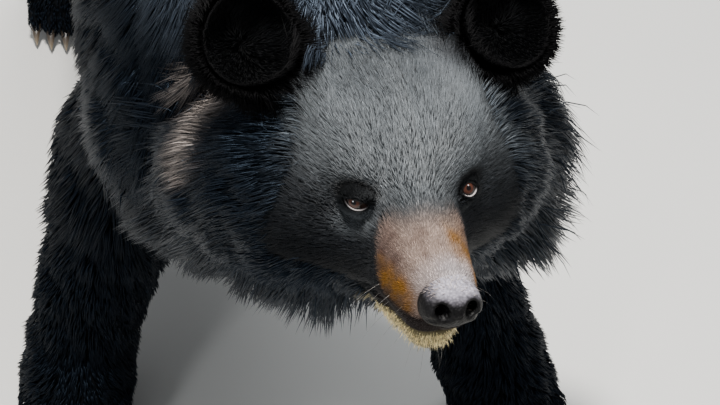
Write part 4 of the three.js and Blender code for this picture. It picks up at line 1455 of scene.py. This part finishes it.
def nose_material():
    """Bare nose leather: pebbled grains with a thin film of water, so that it shines softly. Its
    colour is made lighter on each grain's top and darker in the grooves between, as painted light
    and shade, and the markings bring the painted sheen of its top and the painted shade of the
    nostrils. The grains are drawn at two millimetres, twice their real width, so that they show."""
    material, tree, shader = new_material(
        "moist_nose_leather",
        Roughness=0.55,
        IOR=1.45,
        Specular_IOR_Level=0.16,
        Coat_Weight=0.04,
        Coat_Roughness=0.3,
    )
    place = coordinates(tree)
    scale = 1 / (GRAIN_MM * MM)
    grain = add_node(
        tree, "ShaderNodeTexVoronoi", {"feature": "SMOOTH_F1"}, Vector=place, Scale=scale
    ).outputs["Distance"]
    # painted light and shade on the grains: lighter on each grain's top, darker in the grooves
    # between
    tint = varied(tree, read_colours(tree), grain, 2.0, 0.2)
    tree.links.new(tint, shader.inputs["Base Color"])
    height = add_node(tree, "ShaderNodeMath", {"operation": "SUBTRACT"}, i0=1.0, i1=grain)
    add_bump(tree, shader, height.outputs[0], 1.0)
    return material


def build_nose(sizes, colours):
    """The nose pad, and the fine fur that runs out over its back edge."""
    field = nose_field()
    low, high = NOSE_AT - [44, 42, 42], NOSE_AT + [44, 46, 36]
    points, quads = surface_net(field, low, high, 1.1)
    mesh = new_mesh("nose_pad", from_head(points), quads)
    normals = slope(field, points.astype(np.float32), 0.8)
    tint = np.tile(np.array(colours.leather[:]), (len(points), 1))
    rel = (points - NOSE_AT).astype(np.float32)
    holes = mirrored(cone(NOSTRIL_FRONT, NOSTRIL_R, NOSTRIL_BACK, 5))(rel)
    # painted sheen: the pad's upward-facing top is paler, as the light from above falls on it
    top = smooth(normals[:, 2], 0.45, 0.9) * smooth(rel[:, 1], -25, -12) * smooth(holes, 1, 5)
    tint = mix(tint, NOSE_TOP_SHEEN, top * (1 - 0.8 * smooth(-rel[:, 0], 10, 20)))
    # painted shade: the nostrils darkened to near black
    tint = mix(tint, NOSTRIL_SHADE, 1 - smooth(holes, -1.0, 1.6))
    paint(mesh, "markings", tint)
    new_piece(mesh, nose_material(), ["nose"])
    # the muzzle's fur thins out over the pad's back edge
    back = smooth(rel[:, 1], -20, 10) * smooth(normals[:, 2], 0.1, 0.6)
    back = back * (1 - smooth(np.abs(rel[:, 0]), 17, 24))
    tris = np.concatenate([quads[:, [0, 1, 2]], quads[:, [0, 2, 3]]])
    fur = hair_material("down_at_the_nose", 0.5, 0.3, 0.6, 1.5)
    weight = back[tris].mean(axis=1) ** 2
    short_fur("coat_nose_edge", points, tris, weight, NOSE_AT, 4, fur, sizes, colours)


# ---------------------------------------------------------------- ears


EAR_WALL = 5.5  # thickness of the shell at its rim
EAR_SIDES, EAR_STEPS, RIM_STEPS = 64, 14, 5  # points round it, rings from pole to rim, over it
# the ear's colour is the coat's black made darker still: partly the ear's own black plush, partly
# painted shade in the bowl
BOWL_SHADE = [0.3, 0.28, 0.26, 1]  # of the coat's black


def ear_frame(side):
    """The ear's centre, the way it faces, and its own sideways and upward directions."""
    facing = EAR_FACING * [side, 1, 1]
    e1, e2 = across_of(facing)
    return EAR_AT * [side, 1, 1], facing, e1 * np.sign(e1[0] * side), e2


def ear_material():
    """The thin black hide of the ear under its plush, matt so that the bowl stays dark."""
    material, tree, shader = new_material(
        "black_ear_hide", Roughness=0.9, Specular_IOR_Level=0.05
    )
    tint = varied(tree, read_colours(tree), noise(tree, coordinates(tree), 3.3333, 3.0), 0.5, 1.1)
    tree.links.new(tint, shader.inputs["Base Color"])
    return material


def ear_rows(side):
    """Rings of the ear's bowl from the pole of its back, over the rim, to the pole of the
    bowl, with the reach of each from 0 at a pole to 1 at the rim."""
    centre, facing, e1, e2 = ear_frame(side)
    phi = np.linspace(0, 2 * math.pi, EAR_SIDES, endpoint=False)[:, None]
    around = np.cos(phi) * e1 + np.sin(phi) * e2
    outline = (EAR_R - 5) * (1 + 0.02 * np.sin(phi) - 0.03 * np.cos(2 * phi) * np.sin(phi))
    back, bowl = EAR_DEPTH - 3, EAR_DEPTH - 4
    rows, reach = [], []
    for k in range(1, EAR_STEPS):
        a = k / EAR_STEPS * math.pi / 2
        rows.append(centre + around * outline * math.sin(a) - facing * back * math.cos(a))
        reach.append(math.sin(a))
    for k in range(RIM_STEPS):
        a = -math.pi / 2 + k / (RIM_STEPS - 1) * math.pi
        over = outline - EAR_WALL / 2 * (1 - math.cos(a))
        rows.append(centre + around * over + facing * EAR_WALL / 2 * (1 + math.sin(a)))
        reach.append(1.0)
    for k in range(EAR_STEPS - 1, 0, -1):
        a = k / EAR_STEPS * math.pi / 2
        deep = bowl * math.cos(a) ** 1.3
        fold = 3.2 * bell(phi, 99) * bell(math.sin(a), 0.6) * np.sin(2 * phi)
        inner = around * (outline - EAR_WALL) * math.sin(a)
        rows.append(centre + inner + facing * (EAR_WALL - deep + fold))
        reach.append(math.sin(a))
    poles = [centre - facing * back, centre + facing * (EAR_WALL - EAR_DEPTH + 4)]
    return np.stack(rows), np.array(poles), np.array(reach)


def build_ears(sizes, colours):
    """Ear shells with their plush."""
    hide = ear_material()
    plush = hair_material("black_ear_plush", 0.65, 0.08, 0.5, 1.5)
    for name, side in SIDES.items():
        rows, poles, reach = ear_rows(side)
        rings, count, _ = rows.shape
        q = np.concatenate([rows.reshape(-1, 3), poles])
        faces = ring_faces(rings, count)
        mesh = outward_mesh(f"ear_shell_{name}", from_head(q), faces)
        rim = np.concatenate([np.repeat(smooth(reach, 0.86, 1.0), count), [0, 0]])
        # the whole ear darkened: its own black plush and painted shade in the bowl
        tint = np.tile(np.array(colours.coat[:]) * BOWL_SHADE, (len(q), 1))
        tint = mix(tint, colours.rust[:], rim * 0.05)
        paint(mesh, "markings", tint)
        new_piece(mesh, hide, [f"ear_{name}"])
        ear_plush(name, side, q, faces, tint, sizes, plush)


def ear_plush(name, side, q, faces, tint, sizes, material):
    """Plush that runs along the ear from the middle of each side out past its rim, with
    longer hair on the rim's lower edge beside the crown."""
    rng = np.random.default_rng(40 + side)
    centre, facing, outer, upper = ear_frame(side)
    a, b, c = (q[faces[:, i]] for i in range(3))
    count = int(12_500 * sizes.density * QUICK_SHARE)
    roots, chosen = scattered((a, b, c), np.ones(len(a)), count, rng, True)
    cross = np.cross(b - a, c - a)
    normals = unit(cross * np.sign(np.sum(a * np.cross(b, c))))[chosen]
    rel = roots - centre
    away = unit(rel - facing * (rel @ facing)[:, None])
    out = smooth(np.linalg.norm(rel, axis=1), 12, 44)
    way = away + 0.25 * sway(roots, 12) + rng.normal(size=roots.shape) * 0.2
    way = unit(way - normals * np.sum(way * normals, axis=1, keepdims=True))
    beside_crown = smooth(-(away @ outer) - (away @ upper), 0.5, 1.3) * out
    hair = sizes.ear_hair / MM * (0.7 + 0.6 * rng.random(count)) * (0.8 + 0.35 * out)
    hair = hair * (1 + 1.2 * beside_crown)
    tips = roots + (way + normals * (0.4 + 0.3 * beside_crown)[:, None]) * hair[:, None]
    paths = from_head(np.stack([roots - normals * 0.6, tips], axis=1))
    shade = tint[faces[chosen, 0]]
    turned = np.stack([rel @ outer, rel @ facing, rel @ upper], axis=1)
    unwrapped = round_unwrap(turned, np.zeros(3), 1, 80)
    widths = 1.5 * (0.7 + 0.6 * rng.random(count))
    mesh = tuft_mesh(f"coat_ear_{name}", paths, widths, head_way(normals), unwrapped, shade, rng)
    new_piece(mesh, material)


# ---------------------------------------------------------------- whiskers and claws


BRISTLES = 2300
CLAW_DOWN = math.radians(12)  # how far the claws point below level
CLAW_TIP_Z = (6, 22)  # mm over the floor, between which the horn darkens


def node_tree(name, sockets):
    """A geometry node tree with its named inputs, each (name, kind, default)."""
    tree = bpy.data.node_groups.new(name, "GeometryNodeTree")
    tree.interface.new_socket("Geometry", in_out="INPUT", socket_type="NodeSocketGeometry")
    for label, kind, default in sockets:
        socket = tree.interface.new_socket(label, in_out="INPUT", socket_type=f"NodeSocket{kind}")
        if default is not None:
            socket.default_value = default
    tree.interface.new_socket("Geometry", in_out="OUTPUT", socket_type="NodeSocketGeometry")
    return tree, add_node(tree, "NodeGroupInput").outputs


def horn_tree():
    """Bent, tapered rods on points: each point has an aim, a down direction and a size."""
    tree, given = node_tree(
        "bent_tapered_rods",
        [
            ("Thickness", "Float", 0.01),
            ("Flatness", "Float", 1.0),
            ("Bend", "Float", 0.2),
            ("Taper", "Float", 1.0),
            ("Sides", "Int", 6),
            ("Steps", "Int", 8),
            ("Material", "Material", None),
        ],
    )
    far = add_node(tree, "ShaderNodeCombineXYZ", X=given["Bend"], Z=1.0).outputs[0]
    line = add_node(
        tree,
        "GeometryNodeCurveQuadraticBezier",
        Resolution=given["Steps"],
        Start=(0, 0, 0),
        Middle=(0, 0, 0.55),
        End=far,
    ).outputs[0]
    along = add_node(tree, "GeometryNodeSplineParameter").outputs["Factor"]
    left = add_node(tree, "ShaderNodeMath", {"operation": "SUBTRACT"}, i0=1.0, i1=along).outputs[0]
    full = add_node(tree, "ShaderNodeMath", {"operation": "POWER"}, i0=left, i1=given["Taper"])
    wide = add_node(
        tree, "ShaderNodeMath", {"operation": "MAXIMUM"}, i0=full.outputs[0], i1=0.04
    ).outputs[0]
    line = add_node(tree, "GeometryNodeSetCurveRadius", Curve=line, Radius=wide).outputs[0]
    ring = add_node(
        tree,
        "GeometryNodeCurvePrimitiveCircle",
        Resolution=given["Sides"],
        Radius=given["Thickness"],
    ).outputs["Curve"]
    oval = add_node(tree, "ShaderNodeCombineXYZ", X=1.0, Y=given["Flatness"], Z=1.0).outputs[0]
    ring = add_node(tree, "GeometryNodeTransform", Geometry=ring, Scale=oval).outputs[0]
    rod = add_node(tree, "GeometryNodeCurveToMesh", Curve=line, Profile_Curve=ring, Fill_Caps=True)
    if "Scale" in rod.inputs:
        tree.links.new(wide, rod.inputs["Scale"])

    def named(attribute, kind):
        node = add_node(tree, "GeometryNodeInputNamedAttribute", {"data_type": kind}, Name=attribute)
        return node.outputs["Attribute"]

    aim = add_node(
        tree, "FunctionNodeAlignRotationToVector", {"axis": "Z"}, Vector=named("aim", "FLOAT_VECTOR")
    ).outputs[0]
    aim = add_node(
        tree,
        "FunctionNodeAlignRotationToVector",
        {"axis": "X", "pivot_axis": "Z"},
        Rotation=aim,
        Vector=named("droop", "FLOAT_VECTOR"),
    ).outputs[0]
    points = add_node(tree, "GeometryNodeMeshToPoints", Mesh=given["Geometry"]).outputs[0]
    placed = add_node(
        tree,
        "GeometryNodeInstanceOnPoints",
        Points=points,
        Instance=rod.outputs[0],
        Rotation=aim,
        Scale=named("size", "FLOAT"),
    ).outputs[0]
    made = add_node(tree, "GeometryNodeRealizeInstances", Geometry=placed).outputs[0]
    made = add_node(tree, "GeometryNodeSetShadeSmooth", Geometry=made).outputs[0]
    made = add_node(tree, "GeometryNodeSetMaterial", Geometry=made, Material=given["Material"])
    end = add_node(tree, "NodeGroupOutput")
    tree.links.new(made.outputs[0], end.inputs[0])
    return tree


def rods(name, tree, roots, aims, droops, sizes_mm, inputs, material, replaces=()):
    """One piece of bent, tapered rods that stand on their roots."""
    seeds = bpy.data.meshes.new(name + "_roots")
    seeds.from_pydata(to_frame(roots).tolist(), [], [])
    for label, values in (("aim", unit(aims)), ("droop", unit(droops))):
        layer = seeds.attributes.new(label, "FLOAT_VECTOR", "POINT")
        layer.data.foreach_set("vector", np.asarray(values, np.float32).ravel())
    paint(seeds, "size", np.asarray(sizes_mm) * MM)
    base = bpy.data.objects.new(name + "_roots", seeds)
    bpy.context.scene.collection.objects.link(base)
    modifier = base.modifiers.new("rods", "NODES")
    modifier.node_group = tree
    sockets = {item.name: item.identifier for item in tree.interface.items_tree}
    for label, value in {**inputs, "Material": material}.items():
        modifier[sockets[label]] = value
    graph = bpy.context.evaluated_depsgraph_get()
    mesh = bpy.data.meshes.new_from_object(base.evaluated_get(graph), depsgraph=graph)
    if not len(mesh.polygons):
        raise RuntimeError(f"{name}: its node tree made no faces")
    bpy.data.objects.remove(base)
    mesh.name = name
    return new_piece(mesh, material, replaces)


def whisker_material(name, tint):
    """Stiff keratin bristles, smooth enough to catch a line of light."""
    material, tree, shader = new_material(name, Roughness=0.35, IOR=1.55)
    # noise keeps near its middle, so a range far past black and white spreads it out
    patches = noise(tree, coordinates(tree), 2.5)
    shade = varied(tree, plain_colour(tree, tint), patches, -1.4, 3.6)
    tree.links.new(shade, shader.inputs["Base Color"])
    return material


def build_whiskers(sizes, colours):
    """The bristles of the lower lip and chin, and the long whiskers of lips and chin."""
    rng = np.random.default_rng(7)
    tree = horn_tree()
    pale = whisker_material("pale_chin_bristle", tuple(colours.cream))
    grey = whisker_material("grey_whisker", GREY_WHISKER)
    chin_bristles(tree, pale, rng)
    long_whiskers(tree, grey, sizes, rng)


def chin_bristles(tree, material, rng):
    """Short bristles between lines under the line of the mouth."""
    count = BRISTLES
    share_at = rng.random(count)
    drop = 3.0 + 15 * rng.random(count) ** 1.5
    table = np.stack([mouth_line(d, 0.97) for d in (3, 8, 13, 18)])
    # each bristle stands between two points of each of two neighbouring lines
    at = share_at * (MOUTH_POINTS - 1)
    i = at.astype(int)
    f = (at - i)[:, None]
    level = np.clip((drop - 3) / 5, 0, 2.999)
    k = level.astype(int)
    g = (level - k)[:, None]
    rows = [table[k + n, i] * (1 - f) + table[k + n, i + 1] * f for n in (0, 1)]
    q = rows[0] * (1 - g) + rows[1] * g
    roots = from_head(q)
    out = slope(skin_level, roots.astype(np.float32))
    down = head_way([0, -0.1, -1.0])
    aims = out * 0.85 + down * 0.6 + rng.normal(size=roots.shape) * 0.3
    size = (4.5 + 6 * rng.random(count) ** 2) * (1 - 0.25 * np.abs(share_at - 0.5) * 2)
    inputs = {"Thickness": 0.05, "Bend": 0.3, "Taper": 0.7, "Sides": 3, "Steps": 3}
    down_all = np.tile(down, (count, 1))
    rods("chin_bristles", tree, roots - out * 0.8, aims, down_all, size, inputs, material)


def long_whiskers(tree, material, sizes, rng):
    """Long whiskers: two rows of three on each lip, and five on each side of the chin."""
    long_roots, long_aims, long_sizes = [], [], []
    for side in SIDES.values():
        for row in range(2):
            for n in range(3):
                long_roots.append((26 * side, -92 + 17 * n + 6 * row, -64 - 9 * row))
                long_aims.append((side * 1.0, -0.5 + 0.2 * n, -0.4 - 0.2 * row))
                long_sizes.append(sizes.whisker / MM * (0.2 + 0.25 * rng.random() + 0.05 * n))
        for n in range(5):
            long_roots.append((side * (6 + 5 * n), -92 + 11 * n, -112 + n))
            long_aims.append((side * (0.15 + 0.18 * n), -0.5 + 0.08 * n, -0.8))
            long_sizes.append(sizes.whisker / MM * (0.3 + 0.3 * rng.random()))
    roots = settle(skin_level, from_head(np.array(long_roots)).astype(np.float32), 4)
    out = slope(skin_level, roots)
    aims = head_way(np.array(long_aims)) + 0.5 * out + rng.normal(size=roots.shape) * 0.12
    droops = np.tile(head_way([0, 0.25, -1.0]), (len(roots), 1))
    inputs = {"Thickness": 0.0045, "Bend": 0.34, "Taper": 0.8, "Sides": 4, "Steps": 9}
    rods("whiskers", tree, roots - out, aims, droops, long_sizes, inputs, material)


def horn_material(colours):
    """Claw horn: worn smooth along its back, with fine growth lines and a paler, dirtier
    tip, so that it takes a long soft highlight."""
    material, tree, shader = new_material("worn_claw_horn", Roughness=0.34, IOR=1.54)
    place = coordinates(tree)
    stretched = add_node(tree, "ShaderNodeMapping", Vector=place, Scale=(4, 0.6, 1)).outputs[0]
    lines = noise(tree, stretched, 3.8462, 3.0)
    height = add_node(tree, "ShaderNodeSeparateXYZ", Vector=place).outputs["Z"]
    low, high = (level * MM for level in CLAW_TIP_Z)
    pale = add_node(
        tree, "ShaderNodeMapRange", Value=height, i1=low, i2=high, i3=1.0, i4=0.0
    ).outputs["Result"]
    horn = tuple(colours.horn)
    tint = add_node(tree, "ShaderNodeMix", {"data_type": "RGBA"}, i0=pale, i6=horn, i7=CLAW_TIP)
    shade = varied(tree, tint.outputs[2], lines, 0.65, 1.3)
    tree.links.new(shade, shader.inputs["Base Color"])
    add_bump(tree, shader, lines, 0.3)
    return material


def build_claws(colours):
    """Five bent claws in each paw."""
    tree = horn_tree()
    material = horn_material(colours)
    for leg, (_, heading) in LEGS.items():
        paw = PAW[kind_of(leg)]
        turned = turn(2, heading)
        forward = turned @ [0, -math.cos(CLAW_DOWN), -math.sin(CLAW_DOWN)]
        roots = toe_tips(leg) + turned @ [0, paw["toe"] * 0.45, 0]
        roots[:, 2] = paw["toe"] + 4
        kind, side = leg.split("_")
        inputs = {"Thickness": CLAW_R / paw["claw"] * 1.12, "Flatness": 0.66, "Bend": 0.42}
        inputs |= {"Taper": 0.75, "Sides": 14, "Steps": 14}
        aims, droops = np.tile(forward, (5, 1)), np.tile([0, 0, -1.0], (5, 1))
        claw = np.full(5, float(paw["claw"]))
        names = [f"{kind}_claw_{side}_{i}" for i in range(1, 6)]
        piece = f"{kind}_claws_{side}"
        rods(piece, tree, roots, aims, droops, claw, inputs, material, names)


# ---------------------------------------------------------------- stage


def look_at(obj, target):
    """Turns a lamp to its target."""
    direction = Vector(target) - obj.location
    obj.rotation_euler = direction.to_track_quat("-Z", "Y").to_euler()


CAMERA_AT = np.array([-167.7, -1190, 1402])  # mm, in the bear's frame
CAMERA_DOWN, CAMERA_HEADING = 42, 12  # degrees below level, and towards the bear's left
FOCAL, SENSOR = 80, 36
LAMPS = {  # place and width in metres, power in watts, and colour
    "key": ((-0.15, -0.35, 3.0), 0.45, 150, (1.0, 0.97, 0.93)),
    "fill": ((-2.4, -2.6, 1.6), 0.8, 30, (0.94, 0.97, 1.0)),
    "catch": ((1.3, -0.9, 2.1), 0.42, 14, (1.0, 1.0, 1.0)),
    "rim": ((0.5, 2.0, 2.4), 1.6, 60, (0.92, 0.96, 1.0)),
}


def add_camera():
    """The camera over the bear's right front."""
    data = bpy.data.cameras.new("camera")
    data.lens, data.sensor_width = FOCAL, SENSOR
    data.clip_start, data.clip_end = 0.05, 60
    camera = bpy.data.objects.new("camera", data)
    bpy.context.scene.collection.objects.link(camera)
    camera.location = Vector(to_frame(CAMERA_AT))
    camera.rotation_euler = (
        math.radians(90 - CAMERA_DOWN),
        0,
        math.radians(-CAMERA_HEADING),
    )
    bpy.context.scene.camera = camera


def add_light(name, at, target, width, power, tint):
    """A round lamp aimed at a target."""
    data = bpy.data.lights.new(name, "AREA")
    data.shape, data.size = "DISK", width
    data.energy, data.color = power, tint
    light = bpy.data.objects.new(name, data)
    bpy.context.scene.collection.objects.link(light)
    light.location = at
    look_at(light, target)


def build_stage(sizes, colours):
    """A matt floor, the camera, four soft lamps and a pale sky."""
    half = sizes.floor / 2
    corners = [(-half, -half, 0), (half, -half, 0), (half, half, 0), (-half, half, 0)]
    mesh = bpy.data.meshes.new("floor")
    mesh.from_pydata(corners, [], [(0, 1, 2, 3)])
    floor = bpy.data.objects.new("floor", mesh)
    bpy.context.scene.collection.objects.link(floor)
    material, tree, shader = new_material("matt_studio_paint", Roughness=0.85)
    plain = plain_colour(tree, colours.floor[:])
    tint = varied(tree, plain, noise(tree, coordinates(tree), 333.33), 0.97, 1.03)
    tree.links.new(tint, shader.inputs["Base Color"])
    mesh.materials.append(material)
    add_camera()
    for name, (at, width, power, tint) in LAMPS.items():
        add_light(name, at, to_frame(HEAD_AT), width, power, tint)
    world = bpy.data.worlds.new("studio")
    world.use_nodes = True
    background = world.node_tree.nodes["Background"]
    background.inputs["Color"].default_value = STUDIO_SKY
    background.inputs["Strength"].default_value = 0.4
    bpy.context.scene.world = world


# ---------------------------------------------------------------- operators


class BEAR_OT_skin(bpy.types.Operator):
    """Make the one skin under the coat"""

    bl_idname = "bear.skin"
    bl_label = "Skin"
    bl_options = {"REGISTER", "UNDO"}

    def execute(self, context):
        build_skin(context.scene.bear_sizes, context.scene.bear_colours)
        return {"FINISHED"}


class BEAR_OT_coat(bpy.types.Operator):
    """Grow the coat over the skin"""

    bl_idname = "bear.coat"
    bl_label = "Coat"
    bl_options = {"REGISTER", "UNDO"}

    def execute(self, context):
        skin = bpy.data.objects.get("skin")
        if skin is None:
            raise RuntimeError("make the skin before its coat")
        build_coat(skin, context.scene.bear_sizes, context.scene.bear_colours)
        return {"FINISHED"}


class BEAR_OT_eyes(bpy.types.Operator):
    """Set the eyeballs in the head"""

    bl_idname = "bear.eyes"
    bl_label = "Eyes"
    bl_options = {"REGISTER", "UNDO"}

    def execute(self, context):
        build_eyes(context.scene.bear_colours)
        return {"FINISHED"}


class BEAR_OT_lids(bpy.types.Operator):
    """Close the eyelids round the eyeballs"""

    bl_idname = "bear.lids"
    bl_label = "Eyelids"
    bl_options = {"REGISTER", "UNDO"}

    def execute(self, context):
        build_lids(context.scene.bear_sizes, context.scene.bear_colours)
        return {"FINISHED"}


class BEAR_OT_nose(bpy.types.Operator):
    """Make the nose pad with its nostrils"""

    bl_idname = "bear.nose"
    bl_label = "Nose"
    bl_options = {"REGISTER", "UNDO"}

    def execute(self, context):
        build_nose(context.scene.bear_sizes, context.scene.bear_colours)
        return {"FINISHED"}


class BEAR_OT_ears(bpy.types.Operator):
    """Make the round ears and their plush"""

    bl_idname = "bear.ears"
    bl_label = "Ears"
    bl_options = {"REGISTER", "UNDO"}

    def execute(self, context):
        build_ears(context.scene.bear_sizes, context.scene.bear_colours)
        return {"FINISHED"}


class BEAR_OT_whiskers(bpy.types.Operator):
    """Set the whiskers and the bristles of the chin"""

    bl_idname = "bear.whiskers"
    bl_label = "Whiskers"
    bl_options = {"REGISTER", "UNDO"}

    def execute(self, context):
        build_whiskers(context.scene.bear_sizes, context.scene.bear_colours)
        return {"FINISHED"}


class BEAR_OT_claws(bpy.types.Operator):
    """Set five claws in each paw"""

    bl_idname = "bear.claws"
    bl_label = "Claws"
    bl_options = {"REGISTER", "UNDO"}

    def execute(self, context):
        build_claws(context.scene.bear_colours)
        return {"FINISHED"}


class BEAR_OT_stage(bpy.types.Operator):
    """Set the floor, the lights and the camera"""

    bl_idname = "bear.stage"
    bl_label = "Stage"
    bl_options = {"REGISTER", "UNDO"}

    def execute(self, context):
        build_stage(context.scene.bear_sizes, context.scene.bear_colours)
        return {"FINISHED"}


OPERATORS = [
    BEAR_OT_stage,
    BEAR_OT_skin,
    BEAR_OT_coat,
    BEAR_OT_eyes,
    BEAR_OT_lids,
    BEAR_OT_nose,
    BEAR_OT_ears,
    BEAR_OT_whiskers,
    BEAR_OT_claws,
]


class BEAR_PT_panel(bpy.types.Panel):
    """The bear's pieces, in the order in which they are made"""

    bl_idname = "BEAR_PT_panel"
    bl_label = "Asiatic black bear"
    bl_space_type = "VIEW_3D"
    bl_region_type = "UI"
    bl_category = "Bear"

    def draw(self, context):
        layout = self.layout
        for operator in OPERATORS:
            layout.operator(operator.bl_idname)
        for group in (context.scene.bear_sizes, context.scene.bear_colours):
            for name in group.bl_rna.properties.keys():
                if name not in ("rna_type", "name"):
                    layout.prop(group, name)


CLASSES = [BearSizes, BearColours, *OPERATORS, BEAR_PT_panel]


def register():
    for cls in CLASSES:
        bpy.utils.register_class(cls)
    bpy.types.Scene.bear_sizes = bpy.props.PointerProperty(type=BearSizes)
    bpy.types.Scene.bear_colours = bpy.props.PointerProperty(type=BearColours)


def unregister():
    del bpy.types.Scene.bear_sizes
    del bpy.types.Scene.bear_colours
    for cls in reversed(CLASSES):
        bpy.utils.unregister_class(cls)


def main():
    """Builds everything."""
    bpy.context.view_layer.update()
    register()
    for operator in OPERATORS:
        getattr(bpy.ops.bear, operator.bl_idname.split(".")[1])()


if __name__ == "__main__":
    main()
